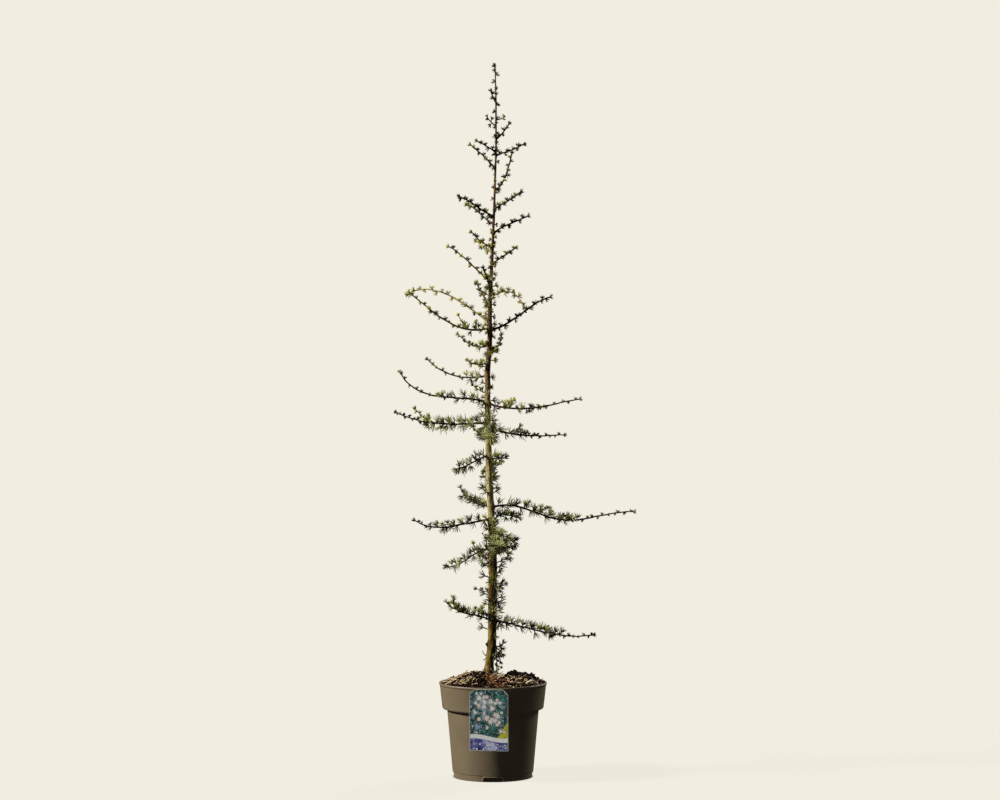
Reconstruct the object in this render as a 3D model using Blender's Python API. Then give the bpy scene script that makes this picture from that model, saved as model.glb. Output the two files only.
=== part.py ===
"""A young blue cedar of Lebanon in a nursery pot, 1.45 m tall.

Metres, +Z up, the front towards -Y, the origin at the middle of the pot's underside.
"""

import math

import bpy
import bmesh
import numpy as np

for old in list(bpy.data.objects):
    bpy.data.objects.remove(old, do_unlink=True)

# The air left between pieces that touch.
GAP = 0.0003
CLEAR = 0.0012

# The pot: a thin shell with a deep collar, a stacking step and a foot ring.
POT_HEIGHT = 0.192
POT_SIDES = 28
RIM_RADIUS = 0.110
BEAD_HEIGHT = 0.004
COLLAR_TOP_RADIUS = 0.1083
COLLAR_FOOT_RADIUS = 0.1032
COLLAR_FOOT = 0.140
BODY_TOP_RADIUS = 0.0935
BODY_FOOT_RADIUS = 0.0824
STEP_HEIGHT = 0.0125
FOOT_RADIUS = 0.0806
FOOT_RING = 0.0045
FLOOR_RADIUS = 0.056
WALL = 0.0021
NOTCH_WIDTH = 0.041
NOTCH_HEIGHT = 0.009
NOTCH_COUNT = 4

# The bark mulch: a low mound that stands above the rim round the trunk.
SOIL_RIM_HEIGHT = 0.187
SOIL_TOP = 0.2115
SOIL_FLAT = 0.017
SOIL_SIDES = 24

# The printed plate that hangs in front of the collar.
LABEL_WIDTH = 0.078
LABEL_HEIGHT = 0.123
LABEL_THICKNESS = 0.0009
LABEL_TOP = 0.1895
LABEL_TURN = math.radians(-9.0)
LABEL_OFFSET = 0.0091
LABEL_CHAMFER = 0.010
LABEL_LEAN = math.radians(2.0)

# The trunk, from the mulch to the tip: height, sideways place and thickness.
TREE_HEIGHT = 1.452
TRUNK_SIDES = 10
TRUNK_STATIONS = (
    (0.2118, -0.0086, 0.0225),
    (0.2200, -0.0078, 0.0185),
    (0.2363, -0.0071, 0.0170),
    (0.2566, -0.0026, 0.0188),
    (0.2770, -0.0020, 0.0172),
    (0.4400, 0.0000, 0.0163),
    (0.5520, -0.0045, 0.0143),
    (0.6030, -0.0077, 0.0133),
    (0.7350, -0.0108, 0.0118),
    (0.8270, -0.0112, 0.0112),
    (0.8780, -0.0067, 0.0102),
    (0.9690, -0.0061, 0.0082),
    (1.0510, -0.0020, 0.0064),
    (1.1466, 0.0020, 0.0050),
    (1.2750, 0.0061, 0.0040),
    (1.3770, 0.0061, 0.0032),
    (TREE_HEIGHT, 0.0041, 0.0022),
)
TRUNK_STEP = 0.06
TRUNK_DEPTH_SWAY = 0.004

# Each shoot: its height on the trunk, the way it points in plan (0 is right, 90 is
# back), its length, its rise in degrees at foot, middle and tip, how far its longest
# needles reach in millimetres, the share of it that carries them, and the share of it
# that is a bare bough.
SHOOTS = {
    "left_low": (0.316, 218, 0.139, 27, 13, 49, 16, 0.85, 0.16),
    "left_drooping": (0.464, 138, 0.156, -2, -26, 5, 17, 1.0, 0),
    "left_long_low": (0.522, 202, 0.181, -1, -6, 37, 16, 0.75, 0.13),
    "left_dense": (0.720, 164, 0.212, -4, 4, 27, 18, 0.75, 0.1),
    "left_long_high": (0.761, 196, 0.208, 18, 8, 70, 16, 0.42, 0.11),
    "left_rising": (0.816, 145, 0.159, -12, 13, 45, 15, 0.35, 0),
    "left_upper_long": (0.914, 205, 0.205, -21, 28, 37, 12, 0.15, 0.13),
    "left_arching": (0.926, 160, 0.202, 28, 26, -32, 9, 0.0, 0.16),
    "right_low": (0.317, -20, 0.22, -5, -11, 13, 17, 0.68, 0.12),
    "right_longest": (0.547, 8, 0.305, 9, -8, 16, 17, 0.62, 0.11),
    "right_middle": (0.711, 30, 0.189, -21, -3, 2, 17, 0.5, 0.14),
    "right_level": (0.760, -14, 0.202, -22, 7, 9, 16, 0.45, 0.13),
    "right_rising": (0.908, 35, 0.176, 10, 32, 8, 9, 0.1, 0),
    "left_short_low": (0.542, 128, 0.114, 31, 12, 79, 15, 0.9, 0),
    "left_short_droop": (0.653, 228, 0.118, -8, -17, -2, 17, 1.0, 0),
    "left_twiggy": (0.839, 235, 0.089, 0, 2, 27, 12, 0.3, 0),
    "left_sage": (0.880, 125, 0.124, -24, 17, 25, 12, 0.25, 0),
    "left_high_long": (1.010, 190, 0.116, 27, 43, 21, 9, 0.0, 0),
    "left_high_back": (1.068, 130, 0.062, 7, 31, 33, 9, 0.0, 0),
    "left_high_front": (1.075, 230, 0.072, 12, 28, 33, 9, 0.0, 0),
    "left_pair_back": (1.125, 145, 0.082, 20, 41, 5, 9, 0.0, 0),
    "left_pair_front": (1.139, 215, 0.101, 22, 25, 12, 9, 0.0, 0),
    "left_top_long": (1.238, 170, 0.076, 48, 43, 37, 9, 0.0, 0),
    "left_top_short": (1.271, 200, 0.05, 34, 28, 20, 9, 0.0, 0),
    "right_drooping_front": (0.494, -55, 0.106, 1, -10, -28, 16, 1.0, 0),
    "right_drooping_back": (0.478, 62, 0.088, -19, -29, -40, 16, 1.0, 0),
    "right_short_low": (0.515, 55, 0.113, 45, -5, -10, 15, 1.0, 0),
    "right_arching": (0.969, -38, 0.107, 48, -12, -78, 9, 0.0, 0),
    "right_high_front": (1.044, -60, 0.099, 13, 19, 10, 9, 0.0, 0),
    "right_high_back": (1.104, 20, 0.088, 44, 23, 28, 9, 0.0, 0),
    "right_upper_front": (1.157, -50, 0.093, 9, 22, 13, 9, 0.0, 0),
    "right_upright": (1.194, 55, 0.105, 16, 62, 67, 9, 0.0, 0),
    "right_top_front": (1.264, -30, 0.075, 18, 14, 24, 9, 0.0, 0),
    "right_top_back": (1.298, 40, 0.056, 26, 46, 46, 9, 0.0, 0),
    "front_low": (0.480, -80, 0.17, 2, -6, 8, 17, 0.9, 0),
    "front_middle": (0.690, 279, 0.17, 2, 8, 26, 18, 0.8, 0),
    "front_short": (0.648, -56, 0.066, -4, 2, 6, 15, 1.0, 0),
    "front_high": (0.990, 258, 0.09, 24, 32, 20, 9, 0.0, 0),
    "back_low": (0.352, 86, 0.215, 8, 14, 34, 17, 0.8, 0),
    "back_drooping": (0.440, 108, 0.2, 2, 4, 28, 16, 0.6, 0),
    "back_middle": (0.600, 84, 0.225, 6, 8, 24, 16, 0.6, 0),
    "back_level": (0.684, 102, 0.19, 4, 12, 24, 15, 0.5, 0),
    "back_rising": (0.860, 78, 0.165, 6, 16, 30, 14, 0.3, 0),
    "back_high": (0.955, 100, 0.13, 14, 30, 26, 9, 0.0, 0),
    "leader": (1.372, 176, 0.03, 60, 66, 72, 9, 0.0, 0),
}
# A shoot that weaves up and down: by how many degrees. The wave starts at a share of the
# shoot and is as long as another share of it.
WEAVES = {"right_longest": 15}
WEAVE_START = 0.08
WEAVE_LENGTH = 0.8
# Side shoots, as rows for a shoot: their share of it, their turn from it in plan, their
# length, and their rise in degrees at foot and tip.
SIDE_SHOOTS = {
    "left_low": ((0.50, 20, 0.014, 50, 70), (0.70, -25, 0.032, 62, 84)),
    "left_long_low": ((0.42, -46, 0.046, 2, 10),),
    "left_dense": ((0.36, 48, 0.052, 2, 10), (0.60, -14, 0.052, 30, 44)),
    "left_long_high": ((0.40, 48, 0.048, 4, 12),),
    "left_upper_long": ((0.25, -15, 0.038, 50, 64), (0.62, 35, 0.030, 18, 34)),
    "right_low": ((0.36, 50, 0.050, -4, 4), (0.52, -48, 0.040, -6, 4)),
    "right_longest": ((0.28, 50, 0.072, 0, 6), (0.44, -48, 0.058, -2, 6)),
    "right_middle": ((0.36, -46, 0.048, -4, 4),),
    "right_level": ((0.34, 48, 0.052, 0, 6), (0.50, -46, 0.042, 0, 8)),
    "front_low": ((0.40, 50, 0.044, -14, -4),),
    "back_low": ((0.40, 48, 0.054, 4, 14), (0.56, -46, 0.044, 4, 14)),
}
PATH_STEPS = 60
PLAN_SWAY = math.radians(4.0)
BOUGH_SIDES = 6
THICKEST_BOUGH = 0.0022
BOUGH_TIP_RADIUS = 0.0017
STEM_SIDES = 3
STEM_TIP_RADIUS = 0.0009
RING_STEP = 0.028
SPRAY_SPACING = 0.0205
SPRAY_CUP = 0.34
SPRAY_NOTCH_LIFT = 0.30
SPRAY_NOTCH_SPREAD = 0.36
SPRAY_TIP_LIFT = 0.50
SPRAY_TIP_SWING = 0.16
SPRAY_ROOM = 0.88
SPRAY_MIDDLE = 0.42
MANY_TEETH_FROM = 0.0150
TWIG_RADIUS = 0.0011
TWIG_TIP_RADIUS = 0.0008
SHORT_REACH = 0.0090
TIP_REACH = 0.0075
GOLDEN_TURN = math.radians(137.5)
SHARP_ANGLE = math.radians(35)
TWIG_STEPS = 12


def material(name, colour, roughness):
    made = bpy.data.materials.new(name)
    made.use_nodes = True
    shader = made.node_tree.nodes["Principled BSDF"]
    shader.inputs["Base Color"].default_value = (*colour, 1.0)
    shader.inputs["Roughness"].default_value = roughness
    shader.inputs["Metallic"].default_value = 0.0
    made.diffuse_color = (*colour, 1.0)
    return made


PLASTIC = material("pot_plastic", (0.205, 0.160, 0.096), 0.42)
PRINT = material("label_print", (0.10, 0.34, 0.38), 0.30)
MULCH = material("mulch", (0.060, 0.036, 0.020), 0.95)
BARK = material("bark", (0.235, 0.175, 0.080), 0.80)
NEEDLES = material("needles", (0.085, 0.120, 0.070), 0.60)


def make_object(name, verts, faces, look):
    mesh = bpy.data.meshes.new(name)
    mesh.from_pydata([tuple(float(c) for c in v) for v in verts], [], faces)
    worked = bmesh.new()
    worked.from_mesh(mesh)
    bmesh.ops.recalc_face_normals(worked, faces=worked.faces[:])
    worked.to_mesh(mesh)
    worked.free()
    mesh.materials.append(look)
    made = bpy.data.objects.new(name, mesh)
    bpy.context.scene.collection.objects.link(made)
    return made


def keep_largest_shell(mesh):
    """Drops scraps and sealed hollows, which are the smaller shells of a joined mesh."""
    worked = bmesh.new()
    worked.from_mesh(mesh)
    left = set(worked.verts)
    shells = []
    while left:
        seen = {left.pop()}
        front = list(seen)
        while front:
            vert = front.pop()
            for edge in vert.link_edges:
                other = edge.other_vert(vert)
                if other not in seen:
                    seen.add(other)
                    front.append(other)
        left -= seen
        shells.append(seen)
    shells.sort(key=len)
    for shell in shells[:-1]:
        bmesh.ops.delete(worked, geom=list(shell), context="VERTS")
    worked.to_mesh(mesh)
    worked.free()


def combine(target, others, operation):
    """Applies one Boolean between the target and a collection of helpers, then removes them."""
    helpers = bpy.data.collections.new("helpers")
    bpy.context.scene.collection.children.link(helpers)
    for other in others:
        bpy.context.scene.collection.objects.unlink(other)
        helpers.objects.link(other)
    boolean = target.modifiers.new("combine", "BOOLEAN")
    boolean.operand_type = "COLLECTION"
    boolean.collection = helpers
    boolean.operation = operation
    boolean.solver = "EXACT"
    graph = bpy.context.evaluated_depsgraph_get()
    result = bpy.data.meshes.new_from_object(target.evaluated_get(graph))
    target.modifiers.clear()
    target.data = result
    keep_largest_shell(result)
    for other in others:
        bpy.data.objects.remove(other, do_unlink=True)
    bpy.data.collections.remove(helpers)
    return target


def smooth(target):
    """Shades a round piece smooth, with its edges kept sharp."""
    target.data.shade_smooth()
    target.data.set_sharp_from_angle(angle=SHARP_ANGLE)
    return target


def turned(name, profile, sides, look):
    """A closed body of revolution from (radius, height) points that begin and end on the axis."""
    verts = []
    rings = []
    for radius, height in profile:
        first = len(verts)
        if radius == 0:
            verts.append((0, 0, height))
            rings.append([first] * sides)
            continue
        for k in range(sides):
            turn = 2 * math.pi * (k + 0.5) / sides
            verts.append((radius * math.cos(turn), radius * math.sin(turn), height))
        rings.append(list(range(first, first + sides)))
    faces = []
    for lower, upper in zip(rings, rings[1:]):
        for k in range(sides):
            j = (k + 1) % sides
            corners = (lower[k], lower[j], upper[j], upper[k])
            faces.append(tuple(dict.fromkeys(corners)))
    return make_object(name, verts, faces, look)


def unit(vector):
    vector = np.asarray(vector, float)
    return vector / np.linalg.norm(vector)


# The pot.
def pot_profile():
    channel = STEP_HEIGHT - WALL
    inner_foot = FOOT_RADIUS - FOOT_RING
    bead = POT_HEIGHT - BEAD_HEIGHT
    return [
        (0, 0),
        (FLOOR_RADIUS, 0),
        (FLOOR_RADIUS + 0.004, channel),
        (inner_foot - 0.001, channel),
        (inner_foot, 0),
        (FOOT_RADIUS, 0),
        (FOOT_RADIUS + 0.0008, STEP_HEIGHT - 0.001),
        (BODY_FOOT_RADIUS, STEP_HEIGHT),
        (BODY_TOP_RADIUS, COLLAR_FOOT - 0.001),
        (COLLAR_FOOT_RADIUS - 0.001, COLLAR_FOOT - 0.001),
        (COLLAR_FOOT_RADIUS, COLLAR_FOOT),
        (COLLAR_TOP_RADIUS, bead - 0.001),
        (RIM_RADIUS, bead),
        (RIM_RADIUS, POT_HEIGHT - 0.001),
        (RIM_RADIUS - 0.001, POT_HEIGHT),
        (COLLAR_TOP_RADIUS - WALL, POT_HEIGHT),
        (COLLAR_FOOT_RADIUS - WALL, COLLAR_FOOT + 0.001),
        (BODY_TOP_RADIUS - WALL, COLLAR_FOOT + 0.001),
        (BODY_FOOT_RADIUS - WALL, STEP_HEIGHT),
        (FLOOR_RADIUS + 0.003, STEP_HEIGHT),
        (FLOOR_RADIUS - 0.001, WALL),
        (0, WALL),
    ]


def foot_notch(turn):
    """A wedge that cuts one drain notch out of the foot ring."""
    half = NOTCH_WIDTH / 2
    near = FOOT_RADIUS - FOOT_RING - 0.006
    far = FOOT_RADIUS + 0.006
    outward = np.array((math.cos(turn), math.sin(turn), 0))
    across = np.array((-math.sin(turn), math.cos(turn), 0))
    verts = []
    for reach in (near, far):
        for side, height in (
            (-half, -0.002),
            (half, -0.002),
            (half * 0.80, NOTCH_HEIGHT),
            (-half * 0.80, NOTCH_HEIGHT),
        ):
            verts.append(outward * reach + across * side + np.array((0, 0, height)))
    faces = [(0, 1, 2, 3), (4, 5, 6, 7), (0, 1, 5, 4), (1, 2, 6, 5), (2, 3, 7, 6), (3, 0, 4, 7)]
    return make_object("notch", verts, faces, PLASTIC)


pot = turned("pot", pot_profile(), POT_SIDES, PLASTIC)
notches = [foot_notch(math.radians(-90 + 360 * k / NOTCH_COUNT)) for k in range(NOTCH_COUNT)]
smooth(combine(pot, notches, "DIFFERENCE"))


# The mulch.
def soil_height(radius, turn):
    """The mound falls from the flat round the trunk to the rim, with a few low humps."""
    share = min(1.0, max(0.0, radius - SOIL_FLAT) / (RIM_RADIUS - SOIL_FLAT))
    mound = SOIL_TOP - (SOIL_TOP - SOIL_RIM_HEIGHT) * share**1.6
    humps = 0.0022 * math.sin(3 * turn + 0.6) + 0.0016 * math.sin(5 * turn - 1.1)
    right = 0.0045 * math.exp(-((turn - 0.15) ** 2) / 0.25)
    return mound + math.sin(math.pi * share) * (humps + right)


def make_soil():
    sides = SOIL_SIDES
    edge = COLLAR_TOP_RADIUS - WALL - 0.0014
    flanks = (
        (BODY_FOOT_RADIUS - WALL - 0.0012, STEP_HEIGHT + GAP),
        (BODY_TOP_RADIUS - WALL - 0.0012, COLLAR_FOOT + 0.001 + GAP),
        (COLLAR_FOOT_RADIUS - WALL - 0.0012, COLLAR_FOOT + 0.001 + GAP),
        (edge, SOIL_RIM_HEIGHT - 0.001),
    )
    tops = (0.097, 0.080, 0.062, 0.040, SOIL_FLAT)
    verts = [(0, 0, STEP_HEIGHT + GAP)]
    rings = [[0] * sides]
    for radius, height in flanks:
        rings.append(list(range(len(verts), len(verts) + sides)))
        for k in range(sides):
            turn = 2 * math.pi * (k + 0.5) / sides
            verts.append((radius * math.cos(turn), radius * math.sin(turn), height))
    for radius in tops:
        rings.append(list(range(len(verts), len(verts) + sides)))
        for k in range(sides):
            turn = 2 * math.pi * (k + 0.5) / sides
            plan = math.atan2(math.sin(turn), math.cos(turn))
            centre = TRUNK_STATIONS[0][1] * (1 - radius / RIM_RADIUS)
            x = centre + radius * math.cos(turn)
            verts.append((x, radius * math.sin(turn), soil_height(radius, plan)))
    rings.append([len(verts)] * sides)
    verts.append((TRUNK_STATIONS[0][1], 0, SOIL_TOP))
    faces = []
    for lower, upper in zip(rings, rings[1:]):
        for k in range(sides):
            j = (k + 1) % sides
            corners = (lower[k], lower[j], upper[j], upper[k])
            faces.append(tuple(dict.fromkeys(corners)))
    return smooth(make_object("mulch", verts, faces, MULCH))


make_soil()


# The label: a flat plate with its upper corners cut. It touches the rim where it is
# turned to, a little to the left, and its middle is off that place by its offset.
def make_label():
    half = LABEL_WIDTH / 2
    outline = (
        (-half, -LABEL_HEIGHT),
        (half, -LABEL_HEIGHT),
        (half, -LABEL_CHAMFER),
        (half - LABEL_CHAMFER, 0),
        (-half + LABEL_CHAMFER, 0),
        (-half, -LABEL_CHAMFER),
    )
    back = -RIM_RADIUS - GAP
    verts = []
    for depth in (0, -LABEL_THICKNESS):
        for x, down in outline:
            side = LABEL_OFFSET + x
            out = back + depth * math.cos(LABEL_LEAN) - down * math.sin(LABEL_LEAN)
            level = LABEL_TOP + down * math.cos(LABEL_LEAN)
            left, front = math.cos(LABEL_TURN), math.sin(LABEL_TURN)
            verts.append((side * left - out * front, side * front + out * left, level))
    count = len(outline)
    faces = [tuple(range(count)), tuple(range(count, 2 * count))]
    for k in range(count):
        j = (k + 1) % count
        faces.append((k, j, count + j, count + k))
    return make_object("label", verts, faces, PRINT)


make_label()


# The trunk.
def trunk_rings():
    """Heights, sideways and depth places, and radii of the trunk's rings."""
    stations = np.array(TRUNK_STATIONS)
    heights = set(stations[:, 0].tolist())
    rise = stations[4, 0]
    while rise < TREE_HEIGHT - TRUNK_STEP:
        rise += TRUNK_STEP
        if min(abs(rise - known) for known in heights) > TRUNK_STEP / 3:
            heights.add(rise)
    heights = np.array(sorted(heights))
    sideways = np.interp(heights, stations[:, 0], stations[:, 1])
    radii = np.interp(heights, stations[:, 0], stations[:, 2]) / 2
    share = (heights - heights[0]) / (heights[-1] - heights[0])
    depth = TRUNK_DEPTH_SWAY * np.sin(2 * math.pi * share * 1.6) * np.minimum(1, share * 6)
    return heights, sideways, depth, radii


RING_HEIGHTS, RING_X, RING_Y, RING_RADII = trunk_rings()


def trunk_at(height):
    x = np.interp(height, RING_HEIGHTS, RING_X)
    y = np.interp(height, RING_HEIGHTS, RING_Y)
    radius = np.interp(height, RING_HEIGHTS, RING_RADII)
    return np.array((x, y)), radius


def trunk_reach(height, turn):
    """How far the trunk's faceted side stands out along a plan direction, near a height."""
    ahead = np.array((math.cos(turn), math.sin(turn)))
    corners = 2 * math.pi * np.arange(TRUNK_SIDES) / TRUNK_SIDES
    reach = np.cos(corners - turn).max()
    found = []
    for near in (-0.003, 0.0, 0.003):
        centre, radius = trunk_at(height + near)
        found.append(float(centre @ ahead) + radius * reach)
    return max(found)


def make_trunk():
    verts = []
    for height, x, y, radius in zip(RING_HEIGHTS, RING_X, RING_Y, RING_RADII):
        for k in range(TRUNK_SIDES):
            turn = 2 * math.pi * k / TRUNK_SIDES
            verts.append((x + radius * math.cos(turn), y + radius * math.sin(turn), height))
    faces = [tuple(range(TRUNK_SIDES)), tuple(range(len(verts) - TRUNK_SIDES, len(verts)))]
    for ring in range(len(RING_HEIGHTS) - 1):
        low = ring * TRUNK_SIDES
        high = low + TRUNK_SIDES
        for k in range(TRUNK_SIDES):
            j = (k + 1) % TRUNK_SIDES
            faces.append((low + k, low + j, high + j, high + k))
    return smooth(make_object("trunk", verts, faces, BARK))


make_trunk()


# The shoots.
def shoot_path(height, turn, length, rises, weave, seed):
    """Points from the trunk's axis to the shoot's tip. The rise runs on a curve through its three values."""
    random = np.random.default_rng(seed)
    phase = random.uniform(0, 2 * math.pi)
    low, middle, high = (math.radians(rise) for rise in rises)
    share = (np.arange(PATH_STEPS) + 0.5) / PATH_STEPS
    lift = low * (1 - share) * (1 - 2 * share) + 4 * middle * share * (1 - share)
    lift += high * share * (2 * share - 1)
    lift -= math.radians(weave) * np.sin(2 * math.pi * (share - WEAVE_START) / WEAVE_LENGTH)
    plan = turn + PLAN_SWAY * (np.sin(5 * share + phase) - math.sin(phase))
    steps = np.stack([np.cos(lift) * np.cos(plan), np.cos(lift) * np.sin(plan), np.sin(lift)], 1)
    centre, _ = trunk_at(height)
    start = np.array([[centre[0], centre[1], height]])
    return np.vstack([start, start + np.cumsum(steps, axis=0) * length / PATH_STEPS])


def foot_of(path, turn):
    """The path's share at which it comes out of the trunk, 0.3 mm clear of the bark."""
    ahead = np.array((math.cos(turn), math.sin(turn), 0))
    reach = trunk_reach(path[0][2], turn) + GAP
    along = path @ ahead
    for k in range(len(path) - 1):
        if along[k + 1] > reach:
            inside = (reach - along[k]) / (along[k + 1] - along[k])
            return (k + max(0.0, inside)) / (len(path) - 1)
    return 0.1


def point_at(path, share):
    place = share * (len(path) - 1)
    low = min(int(place), len(path) - 2)
    return path[low] + (path[low + 1] - path[low]) * (place - low)


def tangent_at(path, share):
    return unit(point_at(path, min(1.0, share + 0.02)) - point_at(path, max(0.0, share - 0.02)))


def tube(points, radii, sides, first_plane=None):
    """Corners and faces of a closed tapering limb. Its first ring may lie in a plane of its own."""
    points = np.asarray(points, float)
    count = len(points)
    ahead = np.gradient(points, axis=0)
    ahead /= np.linalg.norm(ahead, axis=1)[:, None]
    side = unit(np.cross(ahead[0], (0, 0, 1)) + np.array((1e-6, 0, 0)))
    verts = []
    for k in range(count):
        side = unit(side - ahead[k] * (side @ ahead[k]))
        up = np.cross(side, ahead[k])
        for j in range(sides):
            turn = 2 * math.pi * (j + 0.25) / sides
            offset = radii[k] * (side * math.cos(turn) + up * math.sin(turn))
            if k == 0 and first_plane is not None:
                offset -= ahead[0] * (offset @ first_plane) / (ahead[0] @ first_plane)
            verts.append(points[k] + offset)
    faces = [tuple(range(sides)), tuple(range(len(verts) - sides, len(verts)))]
    for k in range(count - 1):
        low = k * sides
        for j in range(sides):
            i = (j + 1) % sides
            faces.append((low + j, low + i, low + sides + i, low + sides + j))
    return verts, faces


def limb_points(path, start, end):
    """Points and shares for a limb's rings at about even steps."""
    length = np.linalg.norm(np.diff(path, axis=0), axis=1).sum() * (end - start)
    count = max(2, int(round(length / RING_STEP)) + 1)
    shares = np.linspace(start, end, count)
    return np.array([point_at(path, share) for share in shares]), shares


def spray_mesh(root, axis, reach, teeth, phase):
    """A toothed cup: needles spread from a root that lies in the twig."""
    axis = unit(axis)
    side = unit(np.cross(axis, (0.31, 0.17, 0.93)))
    other = np.cross(axis, side)
    verts = [root, root + axis * reach * SPRAY_CUP]
    for k in range(teeth):
        tip_turn = 2 * math.pi * k / teeth + phase
        notch_turn = tip_turn + math.pi / teeth
        lift = SPRAY_TIP_LIFT + SPRAY_TIP_SWING * math.sin(2.4 * k + phase * 3)
        spread = math.sqrt(1 - lift * lift)
        tip = side * math.cos(tip_turn) + other * math.sin(tip_turn)
        notch = side * math.cos(notch_turn) + other * math.sin(notch_turn)
        verts.append(root + reach * (axis * lift + tip * spread))
        verts.append(root + reach * (axis * SPRAY_NOTCH_LIFT + notch * SPRAY_NOTCH_SPREAD))
    faces = []
    for k in range(teeth):
        tip = 2 + 2 * k
        after = tip + 1
        before = 2 + (2 * k - 1) % (2 * teeth)
        faces += [(0, before, tip), (0, tip, after), (1, tip, before), (1, after, tip)]
    return verts, faces


class Room:
    """Balls round everything placed, so that each mass keeps out of the others' space."""

    def __init__(self):
        self.centres = np.zeros((0, 3))
        self.radii = np.zeros(0)
        self.owners = np.zeros(0, int)

    def add(self, owner, centres, radii):
        centres = np.atleast_2d(centres)
        self.centres = np.vstack([self.centres, centres])
        self.radii = np.concatenate([self.radii, np.broadcast_to(radii, len(centres))])
        self.owners = np.concatenate([self.owners, np.full(len(centres), owner)])

    def add_line(self, owner, path, radius):
        fine = [point_at(path, share) for share in np.linspace(0, 1, 90)]
        self.add(owner, np.array(fine), radius)

    def free(self, owner, centre, radius):
        others = self.owners != owner
        apart = np.linalg.norm(self.centres[others] - centre, axis=1)
        return bool((apart > self.radii[others] + radius + CLEAR).all())


TRUNK_OWNER = -1
room = Room()
for height in np.arange(RING_HEIGHTS[0], TREE_HEIGHT, 0.003):
    centre, radius = trunk_at(height)
    room.add(TRUNK_OWNER, np.array((centre[0], centre[1], height)), radius + 0.0004)


def side_shoots(path, rows):
    """Side shoots leave the stem at their share, turned from it in plan."""
    made = []
    for share, turn, length, low, high in rows:
        ahead = tangent_at(path, share)
        plan = math.atan2(ahead[1], ahead[0]) + math.radians(turn)
        points = [point_at(path, share)]
        for t in np.linspace(0, 1, TWIG_STEPS):
            rise = math.radians(low + (high - low) * t)
            level = math.cos(rise)
            step = np.array((level * math.cos(plan), level * math.sin(plan), math.sin(rise)))
            points.append(points[-1] + step * length / TWIG_STEPS)
        made.append(np.array(points))
    return made


def spray_places(path, start, needle, lush, random, spacing):
    """Roots, axes and reaches of the sprays up one twig, in a spiral, and one at its tip."""
    length = np.linalg.norm(np.diff(path, axis=0), axis=1).sum()
    turn = random.uniform(0, 2 * math.pi)
    tip_reach = TIP_REACH if lush < 0.9 else needle * 0.7
    last = 1 - tip_reach * 0.9 / length
    share = start + 0.5 * spacing / length
    while share < last - 0.4 * spacing / length:
        ahead = tangent_at(path, share)
        side = unit(np.cross(ahead, (0, 0, 1)))
        up = np.cross(side, ahead)
        turn += GOLDEN_TURN
        outward = side * math.cos(turn) + up * math.sin(turn)
        axis = unit(outward + ahead * 0.45 + np.array((0, 0, 0.30)))
        full = needle if share < lush else SHORT_REACH
        reach = full * (1.08 - 0.25 * share) * random.uniform(0.88, 1.1)
        yield point_at(path, share), axis, reach
        share += max(spacing, reach * 1.3) * random.uniform(0.9, 1.1) / length
    yield point_at(path, last), tangent_at(path, 0.97), tip_reach


# Every limb is set out first, then the sprays fill what room is left between them.
plans = []
for number, (name, sizes) in enumerate(SHOOTS.items()):
    height, heading, length, low, middle, high, needle, lush, bare = sizes
    turn = math.radians(heading)
    random = np.random.default_rng(700 + number)
    weave = WEAVES.get(name, 0)
    path = shoot_path(height, turn, length, (low, middle, high), weave, 300 + number)
    foot = foot_of(path, turn)
    start = foot + (1 - foot) * bare
    twigs = side_shoots(path, SIDE_SHOOTS.get(name, ()))
    base = min(THICKEST_BOUGH, 0.0010 + 0.0062 * length)
    room.add_line(number, path[int(foot * PATH_STEPS) + 1:], base)
    for twig in twigs:
        room.add_line(number, twig, TWIG_RADIUS)
    plans.append((number, name, sizes, path, foot, start, twigs, random, base))

spray_count = 0
for number, name, sizes, path, foot, start, twigs, random, base in plans:
    turn = math.radians(sizes[1])
    length = sizes[2]
    needle = sizes[6] / 1000
    plane = np.array((math.cos(turn), math.sin(turn), 0))
    lush, bare = sizes[7], sizes[8]
    stem_start = start
    if bare > 0:
        points, shares = limb_points(path, foot, start)
        radii = np.linspace(base, BOUGH_TIP_RADIUS, len(points))
        verts, faces = tube(points, radii, BOUGH_SIDES, plane)
        smooth(make_object("bough_" + name, verts, faces, BARK))
        end = unit(points[-1] - points[-2])
        stem_start = start + GAP / length
        plane = end
    points, shares = limb_points(path, stem_start, 1 - needle * 0.3 / length)
    if bare > 0:
        points[0] = point_at(path, start) + end * GAP
    thick = BOUGH_TIP_RADIUS if bare > 0 else min(base, 0.0021)
    radii = np.linspace(thick, STEM_TIP_RADIUS, len(points))
    verts, faces = tube(points, radii, STEM_SIDES, plane)
    stem = make_object("foliage_" + name, verts, faces, NEEDLES)
    pieces = []
    for twig in twigs:
        radii = np.linspace(TWIG_RADIUS, TWIG_TIP_RADIUS, 4)
        shape = [point_at(twig, share) for share in np.linspace(0, 0.96, 4)]
        pieces.append(make_object("twig", *tube(shape, radii, STEM_SIDES), NEEDLES))
    places = list(spray_places(path, stem_start, needle, lush, random, SPRAY_SPACING))
    for twig in twigs:
        places += list(spray_places(twig, 0.12, needle * 0.7, 0.5, random, SPRAY_SPACING * 0.8))
    for root, axis, reach in places:
        centre = root + axis * reach * SPRAY_MIDDLE
        if not room.free(number, centre, reach * SPRAY_ROOM):
            continue
        room.add(number, centre, reach * SPRAY_ROOM)
        teeth = 4 if reach > MANY_TEETH_FROM else 3
        shape = spray_mesh(root, axis, reach, teeth, random.uniform(0, 2 * math.pi))
        pieces.append(make_object("spray", *shape, NEEDLES))
        spray_count += 1
    combine(stem, pieces, "UNION")

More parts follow.
